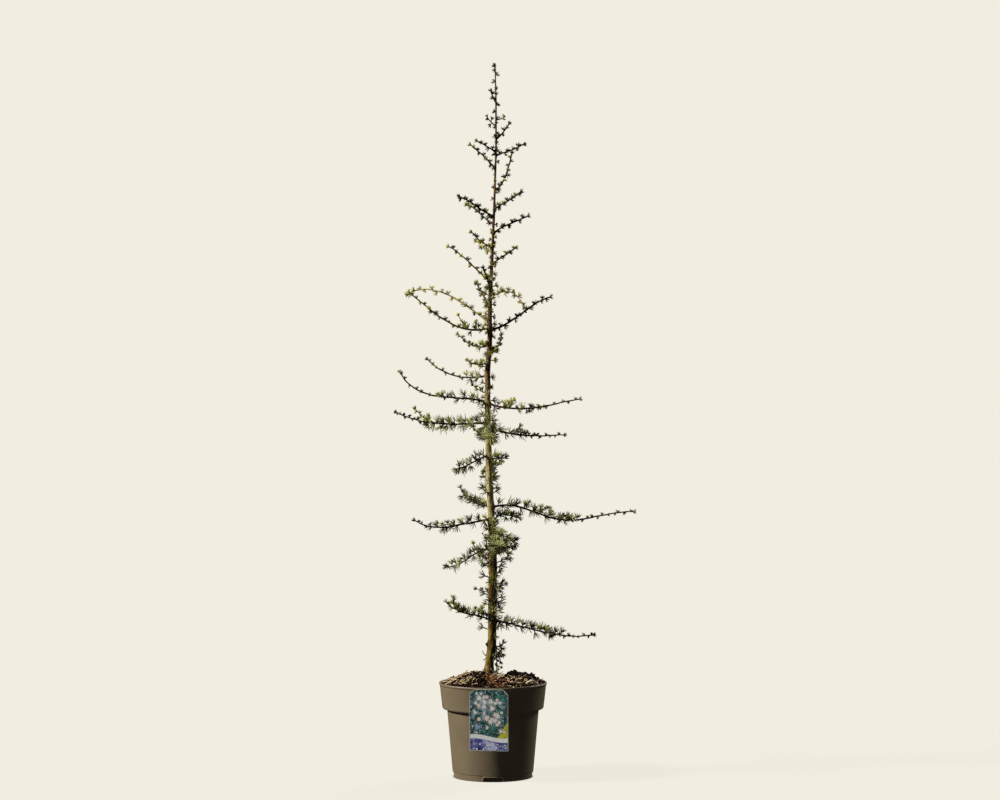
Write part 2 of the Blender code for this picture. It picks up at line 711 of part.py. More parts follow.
# Every piece hangs from one empty on the pot's axis.
plant = bpy.data.objects.new("potted_cedar", None)
total = 0
for made in list(bpy.context.scene.objects):
    made.parent = plant
    made.data.calc_loop_triangles()
    total += len(made.data.loop_triangles)
print(len(bpy.context.scene.objects), "nodes,", spray_count, "sprays,", total, "triangles")
bpy.context.scene.collection.objects.link(plant)
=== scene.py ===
# %% [markdown]
# # A young blue cedar of Lebanon in its nursery pot
# The plant is about 1.45 m tall: one slim leader in a round taupe pot, with thin boughs
# that carry needles in rosettes. Each rosette sits on a short woody spur, and the spurs
# go round a shoot in a spiral. The lower shoots are lush with long needles, and the
# upper and outer parts have only short young clusters.
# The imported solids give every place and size, so the script starts from them.

# %% The frame
import math

import bpy
import bmesh
import numpy as np
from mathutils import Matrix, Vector, noise


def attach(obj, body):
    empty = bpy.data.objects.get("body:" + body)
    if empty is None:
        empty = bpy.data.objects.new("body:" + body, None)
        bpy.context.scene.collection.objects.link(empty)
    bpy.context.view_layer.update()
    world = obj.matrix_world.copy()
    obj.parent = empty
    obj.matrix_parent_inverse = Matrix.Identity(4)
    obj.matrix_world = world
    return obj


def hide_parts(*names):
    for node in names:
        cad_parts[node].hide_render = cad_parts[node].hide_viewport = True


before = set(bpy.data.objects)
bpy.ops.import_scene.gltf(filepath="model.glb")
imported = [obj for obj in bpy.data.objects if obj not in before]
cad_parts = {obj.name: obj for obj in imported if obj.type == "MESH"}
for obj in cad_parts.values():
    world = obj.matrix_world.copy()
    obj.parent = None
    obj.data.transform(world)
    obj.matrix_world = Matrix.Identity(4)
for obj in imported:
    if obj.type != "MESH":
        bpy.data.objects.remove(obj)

for startup in ("Cube", "Light", "Camera"):
    if startup in bpy.data.objects:
        bpy.data.objects.remove(bpy.data.objects[startup], do_unlink=True)
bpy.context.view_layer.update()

# %% [markdown]
# ## The camera
# The photo is taken from straight ahead with a long lens, at about half the height of
# the tree. The picture is 1000 pixels wide, and a metre at the trunk is 491 of them.

# %% The camera
PIXELS_PER_METRE = 491
CAMERA_DISTANCE = 5.0
CAMERA_HEIGHT = 0.766
CAMERA_SIDE = 7 / PIXELS_PER_METRE

camera_data = bpy.data.cameras.new("camera")
camera_data.sensor_width = 36
camera_data.lens = 36 * PIXELS_PER_METRE * CAMERA_DISTANCE / 1000
camera = bpy.data.objects.new("camera", camera_data)
camera.location = (CAMERA_SIDE, -CAMERA_DISTANCE, CAMERA_HEIGHT)
camera.rotation_euler = (math.pi / 2, 0, 0)
bpy.context.scene.collection.objects.link(camera)
bpy.context.scene.camera = camera
print("lens", round(camera_data.lens, 1), "mm")

# %% [markdown]
# ## The light and the floor
# One large soft light stands high on the left and gives the pot its bright side and the
# trunk its dark one. A weaker one from behind keeps the far side readable, and the sky
# gives only a little. The floor runs out so far that its end can't be seen, and its
# tone is worked out from the lights, so that it meets the background with no line.

# %% The light and the floor
CREAM = (0.888, 0.847, 0.753)
AMBIENT = 0.056
FLOOR_SHARE_LIT = 0.08
SUNS = {
    "key": (-76, 33, 4.3, 9, (1.0, 0.965, 0.90)),
    "back": (138, 32, 2.1, 22, (1.0, 0.98, 0.95)),
}


def make_sun(name, turn, height, strength, softness, colour):
    """A soft distant light. The turn is 0 at the camera and positive towards the right."""
    data = bpy.data.lights.new(name, "SUN")
    data.energy = strength
    data.angle = math.radians(softness)
    data.color = colour
    sun = bpy.data.objects.new(name, data)
    turn, height = math.radians(turn), math.radians(height)
    aim = Vector((math.sin(turn) * math.cos(height), -math.cos(turn) * math.cos(height), math.sin(height)))
    sun.rotation_euler = aim.to_track_quat("Z", "Y").to_euler()
    sun.location = aim * 3
    bpy.context.scene.collection.objects.link(sun)
    return np.array(colour) * strength * math.sin(height) / math.pi


on_floor = sum(make_sun(name, *sizes) for name, sizes in SUNS.items()) + AMBIENT * np.array(CREAM)

world = bpy.data.worlds.new("studio")
bpy.context.scene.world = world
world.use_nodes = True
nodes, links = world.node_tree.nodes, world.node_tree.links
nodes.clear()
seen = nodes.new("ShaderNodeBackground")
seen.inputs["Color"].default_value = (*CREAM, 1)
soft = nodes.new("ShaderNodeBackground")
soft.inputs["Color"].default_value = (*CREAM, 1)
soft.inputs["Strength"].default_value = AMBIENT
path_kind = nodes.new("ShaderNodeLightPath")
choose = nodes.new("ShaderNodeMixShader")
output = nodes.new("ShaderNodeOutputWorld")
links.new(path_kind.outputs["Is Camera Ray"], choose.inputs[0])
links.new(soft.outputs[0], choose.inputs[1])
links.new(seen.outputs[0], choose.inputs[2])
links.new(choose.outputs[0], output.inputs["Surface"])

floor_tone = np.array((0.80, 0.77, 0.70))
glow = np.array(CREAM) - FLOOR_SHARE_LIT * floor_tone * on_floor
floor_look = bpy.data.materials.new("floor")
floor_look.use_nodes = True
nodes, links = floor_look.node_tree.nodes, floor_look.node_tree.links
nodes.clear()
paint = nodes.new("ShaderNodeBsdfDiffuse")
paint.inputs["Color"].default_value = (*(FLOOR_SHARE_LIT * floor_tone), 1)
shine = nodes.new("ShaderNodeEmission")
shine.inputs["Color"].default_value = (*glow, 1)
# Painted shadow: under the pot no light gets in, so the floor's glow is made to end at the pot's foot.
where = nodes.new("ShaderNodeTexCoord")
reach = nodes.new("ShaderNodeVectorMath")
reach.operation = "LENGTH"
painted_shadow_under_pot = nodes.new("ShaderNodeMapRange")
for socket, value in (("From Min", 0.0785), ("From Max", 0.0835), ("To Min", 0.004), ("To Max", 1.0)):
    painted_shadow_under_pot.inputs[socket].default_value = value
links.new(where.outputs["Object"], reach.inputs[0])
links.new(reach.outputs["Value"], painted_shadow_under_pot.inputs["Value"])
links.new(painted_shadow_under_pot.outputs[0], shine.inputs["Strength"])
both = nodes.new("ShaderNodeAddShader")
output = nodes.new("ShaderNodeOutputMaterial")
links.new(paint.outputs[0], both.inputs[0])
links.new(shine.outputs[0], both.inputs[1])
links.new(both.outputs[0], output.inputs["Surface"])

FLOOR_REACH = 300
floor_mesh = bpy.data.meshes.new("floor")
corners = [(-FLOOR_REACH, -FLOOR_REACH), (FLOOR_REACH, -FLOOR_REACH), (FLOOR_REACH, FLOOR_REACH), (-FLOOR_REACH, FLOOR_REACH)]
floor_mesh.from_pydata([(x, y, 0) for x, y in corners], [], [(0, 1, 2, 3)])
floor_mesh.materials.append(floor_look)
floor = bpy.data.objects.new("floor", floor_mesh)
bpy.context.scene.collection.objects.link(floor)
floor.visible_diffuse = False
floor.visible_glossy = False
bpy.context.scene.view_settings.view_transform = "Standard"
print("floor glow", [round(float(c), 3) for c in glow])

# %% [markdown]
# ## Helpers
# Most pieces are joined meshes made from arrays of points, because a plant has
# thousands of small things of one kind. A finish is a short chain of nodes on the
# principled shader: noise for colour, for roughness and for the bump.


# %% Helpers
def unit(vector):
    vector = np.asarray(vector, float)
    return vector / np.linalg.norm(vector)


def rows_unit(vectors):
    return vectors / np.linalg.norm(vectors, axis=1)[:, None]


class Finish:
    """A node material in metres, put together a noise at a time."""

    def __init__(self, name, roughness=0.6):
        self.made = bpy.data.materials.new(name)
        self.made.use_nodes = True
        self.nodes = self.made.node_tree.nodes
        self.links = self.made.node_tree.links
        self.shader = self.nodes["Principled BSDF"]
        self.shader.inputs["Roughness"].default_value = roughness
        self.place = self.nodes.new("ShaderNodeTexCoord").outputs["Object"]
        self.relief = None

    def stretched(self, scale):
        node = self.nodes.new("ShaderNodeMapping")
        node.inputs["Scale"].default_value = scale
        self.links.new(self.place, node.inputs["Vector"])
        return node.outputs[0]

    def noise(self, scale, detail=3.0, roughness=0.55, stretch=None):
        node = self.nodes.new("ShaderNodeTexNoise")
        node.inputs["Scale"].default_value = scale
        node.inputs["Detail"].default_value = detail
        node.inputs["Roughness"].default_value = roughness
        self.links.new(self.stretched(stretch) if stretch else self.place, node.inputs["Vector"])
        return node.outputs["Fac"]

    def cells(self, scale, stretch=None, feature="F1"):
        node = self.nodes.new("ShaderNodeTexVoronoi")
        node.feature = feature
        node.inputs["Scale"].default_value = scale
        self.links.new(self.stretched(stretch) if stretch else self.place, node.inputs["Vector"])
        return node.outputs["Distance"]

    def steps(self, source, stops):
        """Maps a value to colours by (place, colour) stops."""
        node = self.nodes.new("ShaderNodeValToRGB")
        ramp = node.color_ramp
        while len(ramp.elements) < len(stops):
            ramp.elements.new(0.5)
        for element, (place, colour) in zip(ramp.elements, stops):
            element.position = place
            colour = colour if isinstance(colour, tuple) else (colour,) * 3
            element.color = (*colour, 1)
        self.links.new(source, node.inputs[0])
        return node.outputs[0]

    def mix(self, share, first, second, kind="MIX"):
        node = self.nodes.new("ShaderNodeMix")
        node.data_type = "RGBA"
        node.blend_type = kind
        for socket, value in ((node.inputs[0], share), (node.inputs[6], first), (node.inputs[7], second)):
            if isinstance(value, bpy.types.NodeSocket):
                self.links.new(value, socket)
            elif isinstance(value, tuple):
                socket.default_value = (*value, 1)
            else:
                socket.default_value = value
        return node.outputs[2]

    def height(self):
        node = self.nodes.new("ShaderNodeSeparateXYZ")
        self.links.new(self.place, node.inputs[0])
        return node.outputs["Z"]

    def sideways(self):
        """From -1 where the surface faces left to 1 where it faces right."""
        node = self.nodes.new("ShaderNodeSeparateXYZ")
        self.links.new(self.place.node.outputs["Normal"], node.inputs[0])
        return node.outputs["X"]

    def between(self, source, low, high, to_low=0.0, to_high=1.0):
        node = self.nodes.new("ShaderNodeMapRange")
        for name, value in (("From Min", low), ("From Max", high), ("To Min", to_low), ("To Max", to_high)):
            node.inputs[name].default_value = value
        self.links.new(source, node.inputs["Value"])
        return node.outputs[0]

    def colour(self, source):
        self.links.new(source, self.shader.inputs["Base Color"])

    def rough(self, source, low, high):
        self.links.new(self.between(source, 0, 1, low, high), self.shader.inputs["Roughness"])

    def bump(self, source, depth):
        node = self.nodes.new("ShaderNodeBump")
        node.inputs["Distance"].default_value = depth
        node.inputs["Strength"].default_value = 1.0
        self.links.new(source, node.inputs["Height"])
        if self.relief is not None:
            self.links.new(self.relief, node.inputs["Normal"])
        self.relief = node.outputs[0]
        self.links.new(self.relief, self.shader.inputs["Normal"])

    def set(self, **values):
        for name, value in values.items():
            self.shader.inputs[name.replace("_", " ")].default_value = value
        return self


def make_piece(name, points, faces, look, slot, nodes=(), smooth=True, edges=None):
    """A mesh piece from an array of points and one or more arrays of faces."""
    faces = [np.asarray(part, np.int32) for part in faces if len(part)]
    corners = np.concatenate([part.ravel() for part in faces])
    sizes = np.concatenate([np.full(len(part), part.shape[1]) for part in faces])
    mesh = bpy.data.meshes.new(name)
    mesh.vertices.add(len(points))
    mesh.vertices.foreach_set("co", np.asarray(points, np.float32).ravel())
    mesh.loops.add(len(corners))
    mesh.loops.foreach_set("vertex_index", corners)
    mesh.polygons.add(len(sizes))
    mesh.polygons.foreach_set("loop_start", np.concatenate([[0], np.cumsum(sizes)[:-1]]).astype(np.int32))
    mesh.update(calc_edges=True)
    mesh.validate()
    if smooth:
        mesh.shade_smooth()
    if edges is not None:
        mesh.set_sharp_from_angle(angle=math.radians(edges))
    made = bpy.data.objects.new(name, mesh)
    bpy.context.scene.collection.objects.link(made)
    return dress(made, look, nodes)


def dress(made, look, nodes=()):
    """Gives a piece its finish, its place on the plant and the solids that it stands for."""
    made.data.materials.clear()
    made.data.materials.append(look.made)
    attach(made, "root")
    if nodes:
        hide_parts(*nodes)
    made.data.calc_loop_triangles()
    print(made.name, len(made.data.loop_triangles), "triangles")
    return made


def grid_faces(rings, sides, closed=True, first=0):
    """The quads between rings of points."""
    ring = np.arange(rings - 1)[:, None] * sides
    side = np.arange(sides if closed else sides - 1)[None, :]
    after = (side + 1) % sides
    quads = np.stack([ring + side, ring + after, ring + sides + after, ring + sides + side], -1)
    return quads.reshape(-1, 4) + first


print("helpers ready")

# %% [markdown]
# ## The pot
# A thin injection-moulded nursery pot. Its bead, its deep collar, the step for stacking
# and the foot ring are one turned outline, with every edge rounded as a mould leaves it.
# Four drain notches are cut out of the foot, each with a fine raised frame, coloured
# paler as a painted highlight. The plastic is a satin taupe with a faint grain, scuffs and
# a little dust under the rim.

# %% The pot's outline
POT_HEIGHT = 0.192
RIM_RADIUS = 0.110
COLLAR_TOP_RADIUS = 0.1083
COLLAR_FOOT_RADIUS = 0.1032
COLLAR_FOOT = 0.140
BODY_TOP_RADIUS = 0.0935
BODY_FOOT_RADIUS = 0.0824
STEP_HEIGHT = 0.0125
FOOT_RADIUS = 0.0806
FOOT_RING = 0.0045
FLOOR_RADIUS = 0.056
WALL = 0.0021
NOTCH_WIDTH = 0.041
NOTCH_HEIGHT = 0.009
NOTCH_COUNT = 4
POT_SIDES = 192

POT_OUTLINE = [
    (0.0, 0.0, 0),
    (FLOOR_RADIUS, 0.0, 0.001),
    (FLOOR_RADIUS + 0.004, STEP_HEIGHT - WALL, 0.002),
    (FOOT_RADIUS - FOOT_RING - 0.001, STEP_HEIGHT - WALL, 0.001),
    (FOOT_RADIUS - FOOT_RING, 0.0, 0.0008),
    (FOOT_RADIUS, 0.0, 0.0012),
    (FOOT_RADIUS + 0.0008, STEP_HEIGHT - 0.001, 0.0006),
    (BODY_FOOT_RADIUS, STEP_HEIGHT, 0.0009),
    (BODY_TOP_RADIUS - 0.0002, COLLAR_FOOT - 0.004, 0.004),
    (BODY_TOP_RADIUS + 0.0006, COLLAR_FOOT - 0.0010, 0.0012),
    (COLLAR_FOOT_RADIUS - 0.0016, COLLAR_FOOT - 0.0010, 0.0008),
    (COLLAR_FOOT_RADIUS, COLLAR_FOOT + 0.0012, 0.0010),
    (COLLAR_FOOT_RADIUS + 0.0002, COLLAR_FOOT + 0.0030, 0.0006),
    (COLLAR_TOP_RADIUS, POT_HEIGHT - 0.0055, 0.0010),
    (RIM_RADIUS - 0.0004, POT_HEIGHT - 0.0042, 0.0009),
    (RIM_RADIUS, POT_HEIGHT - 0.0022, 0.0009),
    (RIM_RADIUS - 0.0006, POT_HEIGHT - 0.0003, 0.0009),
    (RIM_RADIUS - 0.0018, POT_HEIGHT, 0.0008),
    (COLLAR_TOP_RADIUS - WALL, POT_HEIGHT - 0.0009, 0.0008),
    (COLLAR_FOOT_RADIUS - WALL, COLLAR_FOOT + 0.001, 0.001),
    (BODY_TOP_RADIUS - WALL, COLLAR_FOOT + 0.001, 0.001),
    (BODY_FOOT_RADIUS - WALL, STEP_HEIGHT, 0.001),
    (FLOOR_RADIUS + 0.003, STEP_HEIGHT, 0.001),
    (FLOOR_RADIUS - 0.001, WALL, 0.001),
    (0.0, WALL, 0),
]


def rounded(outline, steps=4):
    """The outline with each corner turned into an arc of its own size."""
    made = [np.array(outline[0][:2])]
    for before, corner, after in zip(outline, outline[1:], outline[2:]):
        middle = np.array(corner[:2])
        back, ahead = np.array(before[:2]) - middle, np.array(after[:2]) - middle
        cut = min(corner[2], 0.45 * np.linalg.norm(back), 0.45 * np.linalg.norm(ahead))
        start, end = middle + unit(back) * cut, middle + unit(ahead) * cut
        for t in np.linspace(0, 1, steps + 1):
            made.append((1 - t) ** 2 * start + 2 * t * (1 - t) * middle + t * t * end)
    made.append(np.array(outline[-1][:2]))
    return np.array(made)


def turned_points(outline, sides):
    turns = 2 * math.pi * (np.arange(sides) + 0.5) / sides
    rings = []
    for radius, height in outline:
        rings.append(np.stack([radius * np.cos(turns), radius * np.sin(turns), np.full(sides, height)], 1))
    return np.array(rings)


def pot_mesh():
    outline = rounded(POT_OUTLINE)
    rings = turned_points(outline[1:-1], POT_SIDES)
    points = np.vstack([rings.reshape(-1, 3), (0, 0, 0), (0, 0, WALL)])
    quads = grid_faces(len(rings), POT_SIDES)
    side = np.arange(POT_SIDES)
    after = (side + 1) % POT_SIDES
    last = (len(rings) - 1) * POT_SIDES
    bottom = np.stack([np.full(POT_SIDES, len(points) - 2), after, side], 1)
    top = np.stack([np.full(POT_SIDES, len(points) - 1), last + side, last + after], 1)
    return points, [quads, bottom, top]


def notch_cutter(turn):
    half = NOTCH_WIDTH / 2
    outward = np.array((math.cos(turn), math.sin(turn), 0))
    across = np.array((-math.sin(turn), math.cos(turn), 0))
    verts = []
    for reach in (FOOT_RADIUS - FOOT_RING - 0.006, FOOT_RADIUS + 0.006):
        for side, height in ((-1, -0.002), (1, -0.002), (0.82, NOTCH_HEIGHT), (-0.82, NOTCH_HEIGHT)):
            verts.append(outward * reach + across * side * half + np.array((0, 0, height)))
    faces = [(0, 3, 2, 1), (4, 5, 6, 7), (0, 1, 5, 4), (1, 2, 6, 5), (2, 3, 7, 6), (3, 0, 4, 7)]
    mesh = bpy.data.meshes.new("cutter")
    mesh.from_pydata([tuple(v) for v in verts], [], faces)
    mesh.update()
    made = bpy.data.objects.new("cutter", mesh)
    bpy.context.scene.collection.objects.link(made)
    return made


# %% The pot's plastic
plastic = Finish("taupe_plastic", 0.42)
grain = plastic.noise(900, 2)
cloud = plastic.noise(14, 4, 0.6)
streak = plastic.noise(30, 3, 0.6, (1.0, 1.0, 0.12))
scuff = plastic.noise(160, 5, 0.75, (1.0, 1.0, 0.35))
base = plastic.steps(cloud, [(0.30, (0.190, 0.146, 0.089)), (0.70, (0.232, 0.181, 0.113))])
base = plastic.mix(plastic.between(streak, 0.50, 0.75, 0.0, 0.30), base, (0.265, 0.214, 0.143))
base = plastic.mix(plastic.between(scuff, 0.64, 0.74, 0.0, 0.35), base, (0.330, 0.282, 0.205))
dust = plastic.between(plastic.height(), POT_HEIGHT - 0.030, POT_HEIGHT - 0.004, 0.0, 0.30)
speck = plastic.between(plastic.noise(420, 3, 0.7), 0.55, 0.70)
base = plastic.mix(plastic.mix(1.0, dust, speck, "MULTIPLY"), base, (0.340, 0.262, 0.165))
splash = plastic.between(plastic.height(), 0.030, 0.002, 0.0, 0.45)
base = plastic.mix(plastic.mix(1.0, splash, plastic.between(plastic.noise(120, 5, 0.7), 0.50, 0.62), "MULTIPLY"), base, (0.285, 0.225, 0.145))
plastic.colour(base)
plastic.rough(plastic.noise(60, 4, 0.7), 0.34, 0.58)
plastic.bump(grain, 0.00006)
plastic.bump(plastic.noise(22, 2), 0.0006)
plastic.set(IOR=1.49)

pot = make_piece("pot_shell", *pot_mesh(), plastic, "pot_plastic", ["pot"])
cutters = [notch_cutter(math.radians(-90 + 360 * k / NOTCH_COUNT)) for k in range(NOTCH_COUNT)]
for cutter in cutters:
    cut = pot.modifiers.new("notch", "BOOLEAN")
    cut.operation = "DIFFERENCE"
    cut.solver = "EXACT"
    cut.object = cutter
graph = bpy.context.evaluated_depsgraph_get()
cut_mesh = bpy.data.meshes.new_from_object(pot.evaluated_get(graph))
pot.modifiers.clear()
pot.data = cut_mesh
for cutter in cutters:
    bpy.data.objects.remove(cutter, do_unlink=True)
pot.data.shade_smooth()
pot.data.set_sharp_from_angle(angle=math.radians(38))
pot.data.materials.clear()
pot.data.materials.append(plastic.made)
print("pot with its notches:", len(pot.data.polygons), "faces")


# %% Tubes
def frames_along(path, first_side=None):
    """Directions across a path that turn with it and never flip."""
    ahead = rows_unit(np.gradient(path, axis=0))
    side = first_side if first_side is not None else np.cross(ahead[0], (0.03, 0.05, 1.0))
    sides = np.empty_like(path)
    for k in range(len(path)):
        side = unit(side - ahead[k] * (side @ ahead[k]))
        sides[k] = side
    return ahead, sides, np.cross(sides, ahead)


def tube(path, radii, sides):
    """Points and faces of a closed round limb. The radii are one to a ring, or one to a corner."""
    ahead, across, up = frames_along(path)
    turns = 2 * math.pi * np.arange(sides) / sides
    radii = np.asarray(radii, float)
    if radii.ndim == 1:
        radii = np.repeat(radii[:, None], sides, 1)
    ring = across[:, None] * np.cos(turns)[None, :, None] + up[:, None] * np.sin(turns)[None, :, None]
    points = (path[:, None] + ring * radii[:, :, None]).reshape(-1, 3)
    count = len(path)
    points = np.vstack([points, path[0], path[-1] + ahead[-1] * radii[-1].mean() * 0.5])
    side = np.arange(sides)
    after = (side + 1) % sides
    last = (count - 1) * sides
    foot = np.stack([np.full(sides, len(points) - 2), side, after], 1)
    tip = np.stack([np.full(sides, len(points) - 1), last + after, last + side], 1)
    return points, grid_faces(count, sides)[:, ::-1], np.vstack([foot, tip])


class Heap:
    """Meshes put together into one."""

    def __init__(self):
        self.points, self.quads, self.tris, self.count = [], [], [], 0

    def add(self, points, quads, tris):
        self.points.append(points)
        self.quads.append(np.asarray(quads, np.int64).reshape(-1, 4) + self.count)
        self.tris.append(np.asarray(tris, np.int64).reshape(-1, 3) + self.count)
        self.count += len(points)

    def piece(self, name, look, slot, nodes=(), smooth=True, edges=None):
        faces = [np.vstack(self.quads), np.vstack(self.tris)]
        return make_piece(name, np.vstack(self.points), faces, look, slot, nodes, smooth, edges)


def foot_radius(height):
    return FOOT_RADIUS + 0.0008 * height / STEP_HEIGHT


frames = Heap()
for k in range(NOTCH_COUNT):
    turn = math.radians(-90 + 360 * k / NOTCH_COUNT)
    half = NOTCH_WIDTH / 2 + 0.0016
    line = []
    for t in np.linspace(0, 1, 10):
        line.append((-half * (1 - 0.18 * t), 0.0008 + (NOTCH_HEIGHT + 0.0004) * t))
    for t in np.linspace(0, 1, 24)[1:-1]:
        line.append((half * 0.82 * (2 * t - 1), NOTCH_HEIGHT + 0.0012))
    for t in np.linspace(1, 0, 10):
        line.append((half * (1 - 0.18 * t), 0.0008 + (NOTCH_HEIGHT + 0.0004) * t))
    path = []
    for side, height in line:
        bent = turn + side / FOOT_RADIUS
        reach = foot_radius(height) + 0.0001
        path.append((reach * math.cos(bent), reach * math.sin(bent), height))
    frames.add(*tube(np.array(path), np.full(len(path), 0.00075), 6))
# The notch frames are coloured much paler than the pot: a painted highlight along the raised lines.
frame_painted_highlight = Finish("frame_painted_highlight", 0.5)
frame_painted_highlight.colour(frame_painted_highlight.steps(frame_painted_highlight.noise(240, 4, 0.7), [(0.35, (0.300, 0.245, 0.165)), (0.65, (0.520, 0.440, 0.330))]))
frame_painted_highlight.bump(frame_painted_highlight.noise(900, 2), 0.00006)
frame_painted_highlight.set(IOR=1.49)
frames.piece("pot_notch_frames", frame_painted_highlight, "pot_plastic")

# %% [markdown]
# ## The label
# A glossy card of plastic stands in front of the collar. Its print here is a plain
# design of its own: sprigs and berries on a dark teal ground above a violet band, with
# no words. Each printed shape is a thin flat mesh a tenth of a millimetre proud, so the
# print stays where it is in every export.

# %% The label
LABEL_WIDTH = 0.078
LABEL_HEIGHT = 0.123
LABEL_THICKNESS = 0.0009
LABEL_TOP = 0.1895
LABEL_TURN = math.radians(-9.0)
LABEL_OFFSET = 0.0091
LABEL_CHAMFER = 0.010
LABEL_LEAN = math.radians(2.0)
LABEL_BACK = -RIM_RADIUS - 0.0003


def on_label(x, down, proud):
    """A point on the label: sideways from its middle, down from its top, out of its face."""
    depth = -(LABEL_THICKNESS + proud)
    out = LABEL_BACK + depth * math.cos(LABEL_LEAN) + down * math.sin(LABEL_LEAN)
    side, left, front = LABEL_OFFSET + x, math.cos(LABEL_TURN), math.sin(LABEL_TURN)
    return (side * left - out * front, side * front + out * left, LABEL_TOP - down * math.cos(LABEL_LEAN))


def label_outline(inset=0.0, corner=0.0016):
    """The card's outline with its two upper corners cut, and each corner a little round."""
    half, low = LABEL_WIDTH / 2 - inset, LABEL_HEIGHT - inset
    cut = LABEL_CHAMFER - inset * 0.4
    outline = [(-half, low), (half, low), (half, inset + cut), (half - cut, inset), (-half + cut, inset), (-half, inset + cut)]
    made = []
    for k, middle in enumerate(outline):
        before, after = np.array(outline[k - 1]), np.array(outline[(k + 1) % len(outline)])
        middle = np.array(middle)
        start, end = middle + unit(before - middle) * corner, middle + unit(after - middle) * corner
        for t in np.linspace(0, 1, 5):
            made.append((1 - t) ** 2 * start + 2 * t * (1 - t) * middle + t * t * end)
    return np.array(made)


def card(name, outline, front, back, look, nodes=()):
    """A flat plate between two distances proud of the label's face."""
    count = len(outline)
    points = [on_label(x, down, back) for x, down in outline] + [on_label(x, down, front) for x, down in outline]
    mesh = bpy.data.meshes.new(name)
    faces = [tuple(range(count)), tuple(range(2 * count - 1, count - 1, -1))]
    for k in range(count):
        j = (k + 1) % count
        faces.append((j, k, count + k, count + j))
    mesh.from_pydata(points, [], faces)
    mesh.update()
    made = bpy.data.objects.new(name, mesh)
    bpy.context.scene.collection.objects.link(made)
    return dress(made, look, nodes)


def print_finish(name, colours, scale=300):
    """Ink under a clear gloss, with the faint mottle of a fine print."""
    look = Finish(name, 0.28)
    stops = [(0.32 + 0.36 * k / (len(colours) - 1), colour) for k, colour in enumerate(colours)]
    look.colour(look.steps(look.noise(scale, 4, 0.65), stops))
    look.rough(look.noise(90, 3), 0.22, 0.36)
    look.bump(look.noise(35, 2), 0.00012)
    return look.set(IOR=1.5, Coat_Weight=0.35, Coat_Roughness=0.12)


card_edge = print_finish("card_edge", ((0.62, 0.66, 0.64), (0.84, 0.86, 0.84)))
LEAFY = ((0.001, 0.004, 0.003), (0.003, 0.018, 0.015), (0.022, 0.100, 0.085), (0.170, 0.300, 0.350), (0.780, 0.860, 0.880))
card_ground = print_finish("card_ground", LEAFY, 330)
card_band = print_finish("card_band", ((0.008, 0.005, 0.045), (0.110, 0.115, 0.400), (0.620, 0.680, 0.920)), 60)
card_crest = print_finish("card_crest", ((0.880, 0.920, 0.940), (0.970, 0.980, 0.980)), 90)
card_corner = print_finish("card_corner", ((0.080, 0.230, 0.030), (0.800, 0.700, 0.060)), 55)
card("label_card", label_outline(), 0.0, -LABEL_THICKNESS, card_edge, ["label"])
card("label_ground", label_outline(0.0008), 0.00006, -0.00001, card_ground)
inner = LABEL_WIDTH / 2 - 0.0011
low = LABEL_HEIGHT - 0.0011
BAND_TOP = 0.100


def wave(drop):
    """A swell across the card, from its right edge to its left one."""
    return [(x, BAND_TOP + drop + 0.004 * math.sin(x * 55)) for x in np.linspace(inner, -inner, 40)]


corner = [(inner, low), (inner, 0.066), (0.031, 0.074), (0.025, 0.086), (0.014, 0.100), (0.000, low)]
card("label_corner", corner, 0.00008, 0.00003, card_corner)
card("label_crest", [(-inner, low), (inner, low)] + wave(-0.0062), 0.00010, 0.00005, card_crest)
card("label_band", [(-inner, low), (inner, low)] + wave(0.0022), 0.00012, 0.00007, card_band)


def flat_shapes(name, shapes, look, proud):
    """Printed shapes: each is a fan of points round its middle."""
    points, tris = [], []
    for middle, rim in shapes:
        first = len(points)
        points.append(on_label(*middle, proud))
        points += [on_label(x, down, proud) for x, down in rim]
        count = len(rim)
        for k in range(count):
            tris.append((first, first + 1 + k, first + 1 + (k + 1) % count))
    return make_piece(name, np.array(points), [np.array(tris)], look, "label_print", smooth=False)


def sprig(x, down, size, turn, needles):
    """A star of fine needles, as a rosette looks from above."""
    rim = []
    for k in range(needles):
        at = turn + 2 * math.pi * k / needles
        for bend, share in ((-0.13, 0.36), (0.0, 1.0), (0.13, 0.36)):
            reach = size * share * (0.82 + 0.18 * math.sin(5 * k + turn))
            rim.append((x + reach * math.cos(at + bend), down + reach * math.sin(at + bend)))
    return (x, down), rim


def dot(x, down, wide, tall, turn):
    rim = []
    for k in range(10):
        at = 2 * math.pi * k / 10
        a, b = wide * math.cos(at), tall * math.sin(at)
        rim.append((x + a * math.cos(turn) - b * math.sin(turn), down + a * math.sin(turn) + b * math.cos(turn)))
    return (x, down), rim


random = np.random.default_rng(41)
INKS = {
    "teal": ((0.020, 0.190, 0.150), (0.090, 0.420, 0.330)),
    "blue": ((0.170, 0.310, 0.450), (0.560, 0.730, 0.860)),
    "grey": ((0.700, 0.780, 0.830), (0.930, 0.960, 0.980)),
    "mint": ((0.880, 0.930, 0.900), (0.970, 0.980, 0.970)),
}
inks = {name: print_finish("ink_" + name, colours) for name, colours in INKS.items()}
sprigs = {name: [] for name in INKS}
for row in range(10):
    for column in range(8):
        x = -0.0360 + 0.0098 * column + 0.0049 * (row % 2) + random.uniform(-0.0026, 0.0026)
        down = 0.0070 + 0.0096 * row + random.uniform(-0.0026, 0.0026)
        free = min(inner - abs(x), BAND_TOP - 0.0080 - down, down - 0.0014 - max(0, abs(x) - 0.028))
        size = min(random.uniform(0.0080, 0.0140), free - 0.0005)
        if size < 0.0022 or random.uniform() < 0.4:
            continue
        tone = random.choice(list(INKS), p=(0.14, 0.44, 0.24, 0.18))
        sprigs[tone].append(sprig(x, down, size, random.uniform(0, 6.28), int(random.integers(11, 16))))
for depth, (tone, shapes) in enumerate(sprigs.items()):
    flat_shapes("label_sprigs_" + tone, shapes, inks[tone], 0.00014 + 0.00003 * depth)

